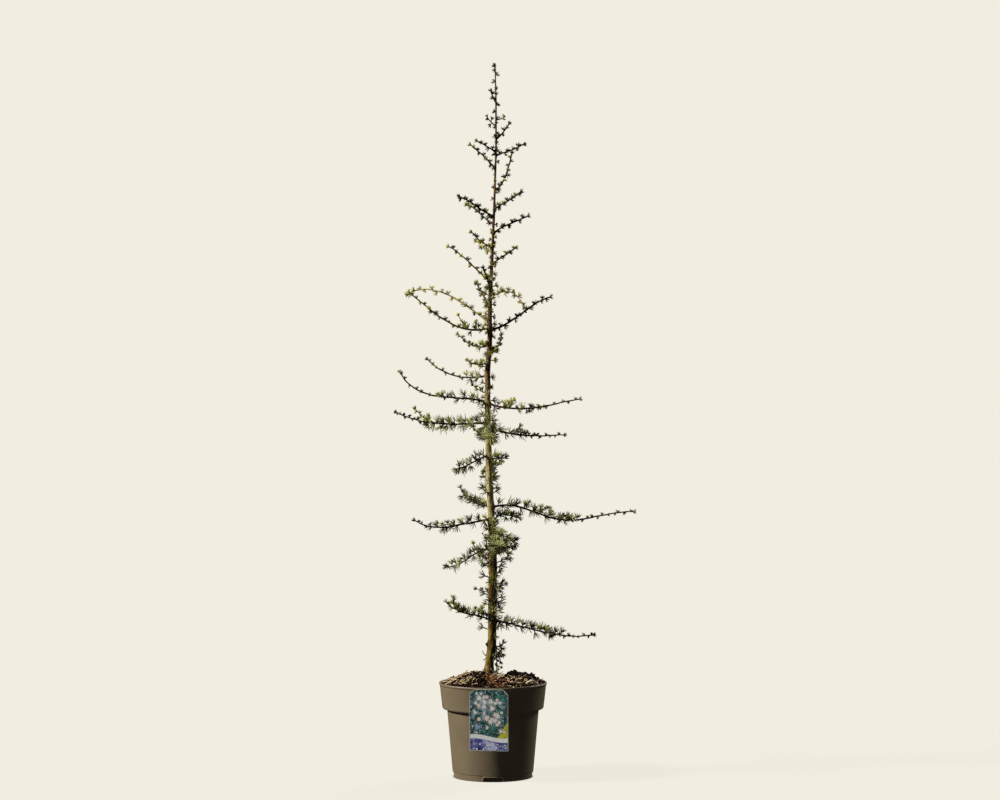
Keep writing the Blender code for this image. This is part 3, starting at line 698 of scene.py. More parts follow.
berry = print_finish("ink_berry", ((0.900, 0.560, 0.460), (0.980, 0.860, 0.770)), 500)
pale = print_finish("ink_pale", ((0.86, 0.88, 0.88), (0.95, 0.96, 0.95)))
berries, sparks = [], []
for k in range(11):
    turn = 2 * math.pi * k / 7 + (0.3 if k > 6 else 0)
    reach = 0.021 if k < 7 else 0.0100
    x = 0.002 + reach * math.cos(turn) * 1.15
    down = 0.046 + reach * math.sin(turn) * 1.5
    size = random.uniform(0.0027, 0.0038)
    berries.append(dot(x, down, size, size * 1.1, random.uniform(-0.5, 0.5)))
    sparks.append(dot(x - 0.0010, down - 0.0012, 0.0011, 0.0012, 0))
flat_shapes("label_berries", berries, berry, 0.00030)
for k in range(24):
    x, down = random.uniform(-0.035, 0.035), random.uniform(BAND_TOP + 0.009, low - 0.002)
    size = random.uniform(0.0008, 0.0021)
    sparks.append(dot(x, down, size, size, 0))
flat_shapes("label_sparks", sparks, pale, 0.00034)

# %% [markdown]
# ## The mulch
# The pot is filled with peat and covered with chipped bark. The surface is one bumpy
# sheet that follows the solid's mound. On it lie chips of bark, splinters, straw and
# crumbs, each kind a joined mesh, with reddish fibres heaped round the foot of the trunk.

# %% The mound
SOIL_RIM_HEIGHT = 0.187
SOIL_TOP = 0.2115
SOIL_FLAT = 0.017
SOIL_EDGE = COLLAR_TOP_RADIUS - WALL - 0.0010
FOOT_X = -0.0086


def soil_height(radius, turn):
    """The solid's own mound: it falls from the flat round the trunk to the rim."""
    share = np.clip((radius - SOIL_FLAT) / (RIM_RADIUS - SOIL_FLAT), 0, 1)
    mound = SOIL_TOP - (SOIL_TOP - SOIL_RIM_HEIGHT) * share**1.6
    humps = 0.0022 * np.sin(3 * turn + 0.6) + 0.0016 * np.sin(5 * turn - 1.1)
    right = 0.0045 * np.exp(-((turn - 0.15) ** 2) / 0.25)
    return mound + np.sin(math.pi * share) * (humps + right)


def ground_at(x, y):
    """Height of the mulch's surface, with its clods."""
    radius = np.hypot(x - FOOT_X * (1 - np.hypot(x, y) / RIM_RADIUS), y)
    level = soil_height(radius, np.arctan2(y, x - FOOT_X))
    clods = noise.fractal(Vector((x * 55, y * 55, 0.7)), 1.0, 2.0, 3)
    crumbs = noise.fractal(Vector((x * 190, y * 190, 4.2)), 0.9, 2.0, 3)
    near_trunk = min(1.0, max(0.0, (radius - 0.010) / 0.02))
    dip = 0.0095 * math.exp(-(((x - 0.022) / 0.012) ** 2)) * math.exp(-((radius / 0.075) ** 4))
    rough = (0.0032 * clods + 0.0016 * crumbs) * (0.4 + 0.6 * near_trunk)
    return float(level + rough - dip - 0.0028)


RINGS, SIDES = 54, 150
points = [(FOOT_X, 0, SOIL_TOP - 0.003)]
for ring in range(1, RINGS + 1):
    for k in range(SIDES):
        turn = 2 * math.pi * k / SIDES
        reach = SOIL_EDGE * ring / RINGS
        centre = FOOT_X * (1 - ring / RINGS)
        x, y = centre + reach * math.cos(turn), reach * math.sin(turn)
        points.append((x, y, ground_at(x, y)))
for k in range(SIDES):
    turn = 2 * math.pi * k / SIDES
    points.append((SOIL_EDGE * 0.97 * math.cos(turn), SOIL_EDGE * 0.97 * math.sin(turn), 0.172))
points.append((0, 0, 0.172))
side = np.arange(SIDES)
after = (side + 1) % SIDES
rings_faces = grid_faces(RINGS + 1, SIDES, first=1)
middle = np.stack([np.zeros(SIDES, int), 1 + side, 1 + after], 1)
under = np.stack([np.full(SIDES, len(points) - 1), 1 + RINGS * SIDES + after, 1 + RINGS * SIDES + side], 1)

peat = Finish("peat", 0.95)
PEAT_STOPS = [(0.34, (0.002, 0.0006, 0.0001)), (0.58, (0.009, 0.003, 0.0006)), (0.80, (0.050, 0.022, 0.008))]
peat.colour(peat.steps(peat.noise(260, 6, 0.7), PEAT_STOPS))
peat.rough(peat.noise(200, 3), 0.85, 1.0)
peat.bump(peat.noise(420, 5, 0.7), 0.0016)
peat.set(Specular_IOR_Level=0.05)
make_piece("mulch_surface", np.array(points), [rings_faces, middle, under], peat, "mulch", ["mulch"])


# %% Chips, splinters, straw and crumbs
def spots_on_mulch(count, random, size, centre=(0, 0), spread=None):
    """Places on the mound for small things of a size, so that they stay inside the rim."""
    places = []
    while len(places) < count:
        if spread is None:
            reach = (RIM_RADIUS - 0.006) * math.sqrt(random.uniform(0, 1))
            turn = random.uniform(0, 2 * math.pi)
            x, y = reach * math.cos(turn), reach * math.sin(turn)
        else:
            x, y = random.normal(centre[0], spread), random.normal(centre[1], spread)
        if math.hypot(x, y) > SOIL_EDGE - size * 0.45 or math.hypot(x - FOOT_X, y) < 0.0105:
            continue
        places.append((x, y, ground_at(x, y)))
    return np.array(places)


def random_frames(count, random, tilt, lean=None):
    """Axes that lie about level, turned any way and tipped a little, or that all lean up to the right."""
    turn = random.uniform(0, 2 * math.pi, count)
    tip = random.normal(0, tilt, count)
    if lean:
        turn = random.normal(0.0, 0.55, count)
        tip = random.normal(lean, tilt, count)
    long = np.stack([np.cos(turn) * np.cos(tip), np.sin(turn) * np.cos(tip), np.sin(tip)], 1)
    up = np.stack([random.normal(0, tilt, count), random.normal(0, tilt, count), np.ones(count)], 1)
    wide = rows_unit(np.cross(up, long))
    return long, wide, np.cross(long, wide)


def chips(name, count, look, seed, long_range, wide_range, thick_range, tilt, lift, centre=(0, 0), spread=None):
    """Broken flat bits of bark, each a rough six-cornered plate."""
    random = np.random.default_rng(seed)
    places = spots_on_mulch(count, random, long_range[1], centre, spread)
    long, wide, high = random_frames(count, random, tilt)
    a = random.uniform(*long_range, count) / 2
    b = np.minimum(random.uniform(*wide_range, count) / 2, a)
    c = random.uniform(*thick_range, count) / 2
    rim = np.array([(-1.0, -0.25), (-0.55, -1.0), (0.45, -0.9), (1.0, -0.1), (0.6, 0.95), (-0.5, 0.8)])
    shake = 1 + random.uniform(-0.28, 0.28, (count, 2, 6, 2))
    points = np.empty((count, 2, 6, 3))
    for level in (0, 1):
        for k in range(6):
            u = rim[k, 0] * shake[:, level, k, 0] * a
            v = rim[k, 1] * shake[:, level, k, 1] * b
            w = (2 * level - 1) * c * (1 + 0.6 * np.sin(3 * u / a + seed))
            points[:, level, k] = places + long * u[:, None] + wide * v[:, None] + high * (w + lift * c)[:, None]
    first = np.arange(count)[:, None, None] * 12
    k = np.arange(6)
    j = (k + 1) % 6
    walls = np.stack([k, j, 6 + j, 6 + k], 1)[None]
    lids = np.array([[0, 5, 4, 3, 2, 1], [6, 7, 8, 9, 10, 11]])[None]
    return make_piece(name, points.reshape(-1, 3), [(walls + first).reshape(-1, 4), (lids + first).reshape(-1, 6)], look, "mulch", smooth=False)


def straws(name, count, look, seed, long_range, radius_range, tilt, bend, centre=(0, 0), spread=None, lift=0.0012, lean=None):
    """Thin bent splinters and blades."""
    random = np.random.default_rng(seed)
    places = spots_on_mulch(count, random, long_range[1] * 0.6, centre, spread)
    long, wide, high = random_frames(count, random, tilt, lean)
    heap = Heap()
    for k in range(count):
        length = random.uniform(*long_range)
        radius = random.uniform(*radius_range)
        t = np.linspace(-0.5, 0.5, 6)
        curve = random.uniform(-bend, bend) * length
        drop = random.uniform(0, bend) * length
        path = places[k] + long[k] * (t * length)[:, None] + wide[k] * (curve * 4 * t * t)[:, None]
        path = path - high[k] * (drop * 4 * t * t)[:, None] + np.array((0, 0, lift))
        reach = np.hypot(path[:, 0], path[:, 1])
        path[:, :2] *= np.minimum(1, SOIL_EDGE / np.maximum(reach, 1e-6))[:, None]
        for i in range(len(path)):
            path[i, 2] = max(path[i, 2], ground_at(path[i, 0], path[i, 1]) + 0.0004)
        heap.add(*tube(path, radius * (1 - 0.5 * np.abs(2 * t) ** 3), 4))
    return heap.piece(name, look, "mulch")


def woody(name, dark, middle, light, scale=500):
    look = Finish(name, 0.85)
    look.colour(look.steps(look.noise(scale, 5, 0.7), [(0.28, dark), (0.50, middle), (0.74, light)]))
    look.rough(look.noise(scale * 0.6, 3), 0.70, 0.95)
    look.bump(look.noise(scale * 1.4, 5, 0.7), 0.0007)
    return look.set(Specular_IOR_Level=0.12)


def clods(name, count, look, seed, size_range, centre, spread):
    """Lumps of peat, each a rough ball that is half sunk."""
    random = np.random.default_rng(seed)
    ball = bmesh.new()
    bmesh.ops.create_icosphere(ball, subdivisions=3, radius=1.0)
    shape = np.array([vertex.co[:] for vertex in ball.verts])
    tris = np.array([[vertex.index for vertex in face.verts] for face in ball.faces])
    ball.free()
    heap = Heap()
    for place in spots_on_mulch(count, random, size_range[1] * 2, centre, spread):
        size = random.uniform(*size_range)
        shift = random.uniform(0, 50)
        rough = [1 + 0.55 * noise.fractal(Vector(point) * 1.6 + Vector((shift, 0, 0)), 0.8, 2.1, 4) for point in shape]
        points = shape * np.array(rough)[:, None] * size * random.uniform(0.7, 1.2, 3)
        heap.add(points + place + np.array((0, 0, size * 0.10)), np.zeros((0, 4)), tris)
    return heap.piece(name, look, "mulch")


dark_bark = woody("chip_dark", (0.002, 0.0006, 0.0001), (0.010, 0.0036, 0.0008), (0.058, 0.025, 0.009))
brown_bark = woody("chip_brown", (0.016, 0.005, 0.001), (0.105, 0.042, 0.013), (0.330, 0.180, 0.075))
red_bark = woody("chip_red", (0.060, 0.018, 0.006), (0.270, 0.105, 0.040), (0.560, 0.300, 0.150))
straw_look = woody("straw", (0.400, 0.235, 0.095), (0.830, 0.610, 0.350), (0.980, 0.890, 0.680), 300)
tan_look = woody("straw_tan", (0.120, 0.056, 0.020), (0.340, 0.200, 0.090), (0.620, 0.430, 0.230), 300)
pale_look = woody("blade_pale", (0.440, 0.370, 0.220), (0.700, 0.620, 0.420), (0.940, 0.880, 0.700), 300)

LEFT = (-0.054, -0.042)
RIGHT = (0.060, -0.042)
FRONT = (0.003, -0.050)
chips("mulch_chips_dark", 780, dark_bark, 11, (0.006, 0.015), (0.003, 0.008), (0.0012, 0.0028), 0.26, 0.2)
chips("mulch_chips_brown", 140, brown_bark, 12, (0.005, 0.014), (0.002, 0.006), (0.0008, 0.0020), 0.30, 0.7)
chips("mulch_chips_pale", 34, straw_look, 13, (0.005, 0.011), (0.0014, 0.0034), (0.0005, 0.0012), 0.45, 1.4)
chips("mulch_crumbs", 2500, dark_bark, 14, (0.0014, 0.0044), (0.0010, 0.0034), (0.0008, 0.0026), 0.60, 0.5)
chips("mulch_crumbs_brown", 300, brown_bark, 15, (0.0012, 0.0040), (0.0010, 0.0026), (0.0006, 0.0018), 0.60, 1.1)
clods("mulch_clods", 14, dark_bark, 20, (0.0034, 0.0054), (0.066, 0.016), 0.018)
clods("mulch_clods_small", 40, dark_bark, 21, (0.0022, 0.0044), (0.0, 0.0), 0.055)
# These two heaps of near-black clods stand where the mulch lies in deep shade: real lumps of peat, and partly painted
# shade.
clods("mulch_clods_left", 18, dark_bark, 24, (0.0044, 0.0062), (-0.0270, -0.030), 0.0065)
clods("mulch_clods_hollow", 18, dark_bark, 27, (0.0042, 0.0058), (-0.0255, -0.055), 0.0055)
clods("mulch_clods_right", 10, dark_bark, 25, (0.0048, 0.0066), (0.078, 0.004), 0.0065)
straws("mulch_straws", 64, straw_look, 16, (0.012, 0.030), (0.0005, 0.0009), 0.20, 0.12)
straws("mulch_straws_tan", 70, tan_look, 23, (0.010, 0.028), (0.0005, 0.0010), 0.25, 0.12)
straws("mulch_straws_left", 38, straw_look, 17, (0.016, 0.030), (0.0005, 0.0010), 0.22, 0.06, LEFT, 0.027, 0.0024, 0.55)
straws("mulch_straws_edge", 26, straw_look, 26, (0.012, 0.022), (0.0006, 0.0011), 0.30, 0.08, (-0.074, 0.004), 0.012, 0.0024, 0.35)
straws("mulch_straws_right", 66, straw_look, 22, (0.012, 0.026), (0.0005, 0.0010), 0.40, 0.10, RIGHT, 0.025)
straws("mulch_fibres_red", 90, red_bark, 18, (0.008, 0.024), (0.0007, 0.0014), 0.30, 0.18, FRONT, 0.018)
straws("mulch_blades", 12, pale_look, 19, (0.018, 0.030), (0.0008, 0.0013), 0.55, 0.22, (0.008, -0.012), 0.005, 0.003)

# A curled strip of pale bark lies near the rim on the right.
curl = []
for t in np.linspace(-1, 1, 16):
    place = np.array((0.080 + 0.0125 * t, -0.050 + 0.004 * t, 0.0))
    curl.append(place + (0, 0, ground_at(place[0], place[1]) + 0.0030 + 0.0062 * (1 - t * t)))
strip = Heap()
turns = 2 * math.pi * np.arange(10) / 10
shape = np.sqrt(np.cos(turns) ** 2 * 0.0034**2 + np.sin(turns) ** 2 * 0.0010**2)
strip.add(*tube(np.array(curl), np.repeat(shape[None], 16, 0), 10))
strip.piece("mulch_curl", pale_look, "mulch")

# %% [markdown]
# ## The trunk
# The stem leans and bends a little, and tapers from a flared foot to a thread at the
# tip. Its young bark is olive-tan and smooth, with brown patches, fine cracks along it,
# a swollen collar under each bough and a dead stub on the left near the ground.

# %% The trunk's line
TREE_HEIGHT = 1.452
TRUNK_STATIONS = (
    (0.2118, -0.0086, 0.0225),
    (0.2200, -0.0078, 0.0185),
    (0.2363, -0.0071, 0.0170),
    (0.2566, -0.0026, 0.0188),
    (0.2770, -0.0020, 0.0172),
    (0.4400, 0.0000, 0.0163),
    (0.5520, -0.0045, 0.0143),
    (0.6030, -0.0077, 0.0133),
    (0.7350, -0.0108, 0.0118),
    (0.8270, -0.0112, 0.0112),
    (0.8780, -0.0067, 0.0102),
    (0.9690, -0.0061, 0.0082),
    (1.0510, -0.0020, 0.0064),
    (1.1466, 0.0020, 0.0050),
    (1.2750, 0.0061, 0.0040),
    (1.3770, 0.0061, 0.0032),
    (TREE_HEIGHT, 0.0041, 0.0022),
)
TRUNK_STEP = 0.06
TRUNK_DEPTH_SWAY = 0.004
TRUNK_SIDES = 10
GAP = 0.0003


def trunk_rings():
    """The source's rings: heights, sideways and depth places, and radii."""
    stations = np.array(TRUNK_STATIONS)
    heights = set(stations[:, 0].tolist())
    rise = stations[4, 0]
    while rise < TREE_HEIGHT - TRUNK_STEP:
        rise += TRUNK_STEP
        if min(abs(rise - known) for known in heights) > TRUNK_STEP / 3:
            heights.add(rise)
    heights = np.array(sorted(heights))
    sideways = np.interp(heights, stations[:, 0], stations[:, 1])
    radii = np.interp(heights, stations[:, 0], stations[:, 2]) / 2
    share = (heights - heights[0]) / (heights[-1] - heights[0])
    depth = TRUNK_DEPTH_SWAY * np.sin(2 * math.pi * share * 1.6) * np.minimum(1, share * 6)
    return heights, sideways, depth, radii


RING_HEIGHTS, RING_X, RING_Y, RING_RADII = trunk_rings()


def trunk_at(height):
    x = np.interp(height, RING_HEIGHTS, RING_X)
    y = np.interp(height, RING_HEIGHTS, RING_Y)
    radius = np.interp(height, RING_HEIGHTS, RING_RADII)
    return np.array((x, y)), radius


def trunk_reach(height, turn):
    """How far the solid's side stands out along a plan direction, near a height."""
    ahead = np.array((math.cos(turn), math.sin(turn)))
    corners = 2 * math.pi * np.arange(TRUNK_SIDES) / TRUNK_SIDES
    reach = np.cos(corners - turn).max()
    found = []
    for near in (-0.003, 0.0, 0.003):
        centre, radius = trunk_at(height + near)
        found.append(float(centre @ ahead) + radius * reach)
    return max(found)


# %% [markdown]
# ## The shoots
# Each shoot repeats the source's rule: a row gives its height, the way it points, its
# length, its rise at foot, middle and tip, how long its needles are, how much of it is
# lush and how much is bare. The rows come from the photo on the left and right, and
# from the habit of the tree at the front and the back.

# %% The shoots' table and lines
SHOOTS = {
    "left_low": (0.316, 218, 0.139, 27, 13, 49, 16, 0.85, 0.16),
    "left_drooping": (0.464, 138, 0.156, -2, -26, 5, 17, 1.0, 0),
    "left_long_low": (0.522, 202, 0.181, -1, -6, 37, 16, 0.75, 0.13),
    "left_dense": (0.720, 164, 0.212, -4, 4, 27, 18, 0.75, 0.1),
    "left_long_high": (0.761, 196, 0.208, 18, 8, 70, 16, 0.42, 0.11),
    "left_rising": (0.816, 145, 0.159, -12, 13, 45, 15, 0.35, 0),
    "left_upper_long": (0.914, 205, 0.205, -21, 28, 37, 12, 0.15, 0.13),
    "left_arching": (0.926, 160, 0.202, 28, 26, -32, 9, 0.0, 0.16),
    "right_low": (0.317, -20, 0.22, -5, -11, 13, 17, 0.68, 0.12),
    "right_longest": (0.547, 8, 0.305, 9, -8, 16, 17, 0.62, 0.11),
    "right_middle": (0.711, 30, 0.189, -21, -3, 2, 17, 0.5, 0.14),
    "right_level": (0.760, -14, 0.202, -22, 7, 9, 16, 0.45, 0.13),
    "right_rising": (0.908, 35, 0.176, 10, 32, 8, 9, 0.1, 0),
    "left_short_low": (0.542, 128, 0.114, 31, 12, 79, 15, 0.9, 0),
    "left_short_droop": (0.653, 228, 0.118, -8, -17, -2, 17, 1.0, 0),
    "left_twiggy": (0.839, 235, 0.089, 0, 2, 27, 12, 0.3, 0),
    "left_sage": (0.880, 125, 0.124, -24, 17, 25, 12, 0.25, 0),
    "left_high_long": (1.010, 190, 0.116, 27, 43, 21, 9, 0.0, 0),
    "left_high_back": (1.068, 130, 0.062, 7, 31, 33, 9, 0.0, 0),
    "left_high_front": (1.075, 230, 0.072, 12, 28, 33, 9, 0.0, 0),
    "left_pair_back": (1.125, 145, 0.082, 20, 41, 5, 9, 0.0, 0),
    "left_pair_front": (1.139, 215, 0.101, 22, 25, 12, 9, 0.0, 0),
    "left_top_long": (1.238, 170, 0.076, 48, 43, 37, 9, 0.0, 0),
    "left_top_short": (1.271, 200, 0.05, 34, 28, 20, 9, 0.0, 0),
    "right_drooping_front": (0.494, -55, 0.106, 1, -10, -28, 16, 1.0, 0),
    "right_drooping_back": (0.478, 62, 0.088, -19, -29, -40, 16, 1.0, 0),
    "right_short_low": (0.515, 55, 0.113, 45, -5, -10, 15, 1.0, 0),
    "right_arching": (0.969, -38, 0.107, 48, -12, -78, 9, 0.0, 0),
    "right_high_front": (1.044, -60, 0.099, 13, 19, 10, 9, 0.0, 0),
    "right_high_back": (1.104, 20, 0.088, 44, 23, 28, 9, 0.0, 0),
    "right_upper_front": (1.157, -50, 0.093, 9, 22, 13, 9, 0.0, 0),
    "right_upright": (1.194, 55, 0.105, 16, 62, 67, 9, 0.0, 0),
    "right_top_front": (1.264, -30, 0.075, 18, 14, 24, 9, 0.0, 0),
    "right_top_back": (1.298, 40, 0.056, 26, 46, 46, 9, 0.0, 0),
    "front_low": (0.480, -80, 0.17, 2, -6, 8, 17, 0.9, 0),
    "front_middle": (0.690, 279, 0.17, 2, 8, 26, 18, 0.8, 0),
    "front_short": (0.648, -56, 0.066, -4, 2, 6, 15, 1.0, 0),
    "front_high": (0.990, 258, 0.09, 24, 32, 20, 9, 0.0, 0),
    "back_low": (0.352, 86, 0.215, 8, 14, 34, 17, 0.8, 0),
    "back_drooping": (0.440, 108, 0.2, 2, 4, 28, 16, 0.6, 0),
    "back_middle": (0.600, 84, 0.225, 6, 8, 24, 16, 0.6, 0),
    "back_level": (0.684, 102, 0.19, 4, 12, 24, 15, 0.5, 0),
    "back_rising": (0.860, 78, 0.165, 6, 16, 30, 14, 0.3, 0),
    "back_high": (0.955, 100, 0.13, 14, 30, 26, 9, 0.0, 0),
    "leader": (1.372, 176, 0.03, 60, 66, 72, 9, 0.0, 0),
}
# A shoot that weaves up and down: by how many degrees. The wave starts at a share of the
# shoot and is as long as another share of it.
WEAVES = {"right_longest": 15}
WEAVE_START = 0.08
WEAVE_LENGTH = 0.8
# Side shoots, as rows for a shoot: their share of it, their turn from it in plan, their
# length, and their rise in degrees at foot and tip.
SIDE_SHOOTS = {
    "left_low": ((0.50, 20, 0.014, 50, 70), (0.70, -25, 0.032, 62, 84)),
    "left_long_low": ((0.42, -46, 0.046, 2, 10),),
    "left_dense": ((0.36, 48, 0.052, 2, 10), (0.60, -14, 0.052, 30, 44)),
    "left_long_high": ((0.40, 48, 0.048, 4, 12),),
    "left_upper_long": ((0.25, -15, 0.038, 50, 64), (0.62, 35, 0.030, 18, 34)),
    "right_low": ((0.36, 50, 0.050, -4, 4), (0.52, -48, 0.040, -6, 4)),
    "right_longest": ((0.28, 50, 0.072, 0, 6), (0.44, -48, 0.058, -2, 6)),
    "right_middle": ((0.36, -46, 0.048, -4, 4),),
    "right_level": ((0.34, 48, 0.052, 0, 6), (0.50, -46, 0.042, 0, 8)),
    "front_low": ((0.40, 50, 0.044, -14, -4),),
    "back_low": ((0.40, 48, 0.054, 4, 14), (0.56, -46, 0.044, 4, 14)),
}
PATH_STEPS = 60
PLAN_SWAY = math.radians(4.0)
GOLDEN_TURN = math.radians(137.5)
TWIG_STEPS = 12
SHORT_REACH = 0.0096


def shoot_path(height, turn, length, rises, weave, seed):
    """Points from the trunk's axis to the shoot's tip. The rise runs on a curve through its three values."""
    random = np.random.default_rng(seed)
    phase = random.uniform(0, 2 * math.pi)
    low, middle, high = (math.radians(rise) for rise in rises)
    share = (np.arange(PATH_STEPS) + 0.5) / PATH_STEPS
    lift = low * (1 - share) * (1 - 2 * share) + 4 * middle * share * (1 - share)
    lift += high * share * (2 * share - 1)
    lift -= math.radians(weave) * np.sin(2 * math.pi * (share - WEAVE_START) / WEAVE_LENGTH)
    plan = turn + PLAN_SWAY * (np.sin(5 * share + phase) - math.sin(phase))
    steps = np.stack([np.cos(lift) * np.cos(plan), np.cos(lift) * np.sin(plan), np.sin(lift)], 1)
    centre, _ = trunk_at(height)
    start = np.array([[centre[0], centre[1], height]])
    return np.vstack([start, start + np.cumsum(steps, axis=0) * length / PATH_STEPS])


def foot_of(path, turn):
    """The path's share at which it comes out of the trunk."""
    ahead = np.array((math.cos(turn), math.sin(turn), 0))
    reach = trunk_reach(path[0][2], turn) + GAP
    along = path @ ahead
    for k in range(len(path) - 1):
        if along[k + 1] > reach:
            inside = (reach - along[k]) / (along[k + 1] - along[k])
            return (k + max(0.0, inside)) / (len(path) - 1)
    return 0.1


def point_at(path, share):
    place = share * (len(path) - 1)
    low = min(int(place), len(path) - 2)
    return path[low] + (path[low + 1] - path[low]) * (place - low)


def tangent_at(path, share):
    return unit(point_at(path, min(1.0, share + 0.02)) - point_at(path, max(0.0, share - 0.02)))


def side_shoots(path, rows):
    """Side shoots leave the stem at their share, turned from it in plan."""
    made = []
    for share, turn, length, low, high in rows:
        ahead = tangent_at(path, share)
        plan = math.atan2(ahead[1], ahead[0]) + math.radians(turn)
        points = [point_at(path, share)]
        for t in np.linspace(0, 1, TWIG_STEPS):
            rise = math.radians(low + (high - low) * t)
            level = math.cos(rise)
            step = np.array((level * math.cos(plan), level * math.sin(plan), math.sin(rise)))
            points.append(points[-1] + step * length / TWIG_STEPS)
        made.append(np.array(points))
    return made


def length_of(path):
    return float(np.linalg.norm(np.diff(path, axis=0), axis=1).sum())


def refined(path, step, wander, seed, trim):
    """The path in fine even steps, with the small bends of a real twig. Its end tuft fills the trim."""
    length = length_of(path)
    count = max(6, int(length / step) + 1)
    shares = np.linspace(0, 1 - trim / length, count)
    fine = np.array([point_at(path, share) for share in shares])
    for axis in range(3):
        fine[:, axis] = np.convolve(np.pad(fine[:, axis], 2, "edge"), (0.1, 0.2, 0.4, 0.2, 0.1), "valid")
    random = np.random.default_rng(seed)
    ease = np.minimum(1, shares * 6)
    for wave in (0.016, 0.031, 0.058):
        phase = random.uniform(0, 2 * math.pi, 3)
        turn = 2 * math.pi * shares[:, None] * length / wave + phase
        fine += wander * (wave / 0.03) ** 0.7 * ease[:, None] * np.sin(turn) * (1, 1, 0.8)
    return fine


plans = []
for number, (name, sizes) in enumerate(SHOOTS.items()):
    height, heading, length, low, middle, high, needle, lush, bare = sizes
    turn = math.radians(heading)
    path = shoot_path(height, turn, length, (low, middle, high), WEAVES.get(name, 0), 300 + number)
    foot = foot_of(path, turn)
    start = foot + (1 - foot) * bare
    twigs = side_shoots(path, SIDE_SHOOTS.get(name, ()))
    base = min(0.0022, 0.0010 + 0.0062 * length)
    plans.append((number, name, path, foot, start, twigs, base))
print(len(plans), "shoots,", round(sum(length_of(plan[2]) for plan in plans), 2), "m in all")

# %% [markdown]
# ## Spurs and rosettes
# Every few millimetres a shoot bears a spur, a squat barrel of old bud scales, and on it
# a whorl of needles. A list of spurs is made first: its foot, the way it points, how far
# its needles reach, how many there are and which tone they have. The meshes then come
# from that one list, all at once.

# %% The list of spurs
# The first tone is a near-black copy of the needle green that stands for needles in shade: painted shade.
TONES = ("deep", "blue", "sage", "green", "yellow")
LUSH_MIX = (0.38, 0.20, 0.32, 0.08, 0.02)
DARK_MIX = (0.58, 0.22, 0.12, 0.07, 0.01)
YOUNG_MIX = (0.66, 0.12, 0.04, 0.14, 0.04)
GREEN_MIX = (0.13, 0.04, 0.32, 0.29, 0.22)
YELLOW_MIX = (0.05, 0.00, 0.20, 0.22, 0.53)
SAGE_MIX = (0.30, 0.10, 0.46, 0.11, 0.03)
FRONT_MIX = (0.40, 0.04, 0.48, 0.08, 0.0)
# This mix, mostly the pale sage tone, goes to shoots that lie in shade to make them paler: painted light.
SHADE_LIFT_MIX = (0.12, 0.08, 0.72, 0.08, 0.0)
# This mix is nearly all the near-black tone: painted shade, for twigs that lie in shade.
SHADED_MIX = (0.85, 0.15, 0.0, 0.0, 0.0)
LUSH_SPACING = 0.0058
YOUNG_SPACING = 0.0092
# How a shoot differs from the others: its mix, how close its spurs are, the share that hang,
# how many small twigs stand on it, and a lush share of its own.
HABITS = {
    "left_low": (SHADE_LIFT_MIX, 0.90, 0.04, 5),
    "left_drooping": (LUSH_MIX, 0.96, 0.25, 0),
    "left_long_low": (LUSH_MIX, 0.82, 0.20, 0),
    "left_short_low": (DARK_MIX, 1.45, 0.15, 0),
    "left_short_droop": (LUSH_MIX, 1.02, 0.25, 0),
    "left_dense": (SAGE_MIX, 1.26, 0.55, 2, 0.66),
    "left_long_high": (LUSH_MIX, 0.64, 0.25, 1),
    "left_rising": (LUSH_MIX, 0.72, 0.25, 0),
    "left_sage": (SAGE_MIX, 1.0, 0.25, 0, 0.35),
    "left_twiggy": (YELLOW_MIX, 1.0, 0.20, 0),
    "left_arching": (YELLOW_MIX, 0.76, 0.20, 0),
    "right_arching": (YELLOW_MIX, 1.1, 0.20, 0),
    "left_upper_long": (GREEN_MIX, 0.86, 0.20, 1, 0.34),
    "left_high_front": (GREEN_MIX, 1.2, 0.20, 0),
    "left_high_back": (GREEN_MIX, 1.2, 0.20, 0),
    "left_high_long": (GREEN_MIX, 0.74, 0.20, 0),
    "left_pair_front": (YOUNG_MIX, 1.2, 0.20, 0),
    "left_pair_back": (YOUNG_MIX, 1.25, 0.20, 0),
    "left_top_long": (YOUNG_MIX, 1.2, 0.20, 0),
    "left_top_short": (YOUNG_MIX, 1.2, 0.20, 0),
    "right_low": (LUSH_MIX, 0.92, 0.10, 1),
    "right_rising": (YOUNG_MIX, 0.88, 0.20, 0),
    "right_longest": (SHADE_LIFT_MIX, 0.84, 0.20, 3),
    "right_short_low": (DARK_MIX, 1.5, 0.30, 0),
    "right_middle": (SHADE_LIFT_MIX, 0.74, 0.45, 1),
    "right_level": (SAGE_MIX, 0.60, 0.20, 1),
    "right_drooping_front": (LUSH_MIX, 1.2, 0.30, 0),
    "right_drooping_back": (DARK_MIX, 1.2, 0.30, 0),
    "front_middle": (SHADE_LIFT_MIX, 1.3, 0.45, 0),
    "back_drooping": (LUSH_MIX, 0.55, 0.2, 0),
    "back_low": (LUSH_MIX, 0.60, 0.2, 0),
    "front_low": (FRONT_MIX, 1.35, 0.45, 2),
    "front_short": (SAGE_MIX, 1.4, 0.35, 0),
    "leader": (YOUNG_MIX, 1.2, 0.20, 0),
}


class Spurs:
    """Rows of spurs. The needles and the barrels are both made from them."""

    def __init__(self):
        self.rows = []

    def add(self, root, axis, barrel, thick, reach, count, tone, splay=1.0):
        self.rows.append((*root, *axis, barrel, thick, reach, count, TONES.index(tone), splay))

    def arrays(self):
        rows = np.array(self.rows)
        return rows[:, :3], rows_unit(rows[:, 3:6]), rows[:, 6], rows[:, 7], rows[:, 8], rows[:, 9].astype(int), rows[:, 10].astype(int), rows[:, 11]


spurs = Spurs()
limbs = []


def limb_radius(base, tip, share):
    return tip + (base - tip) * (1 - share) ** 0.85


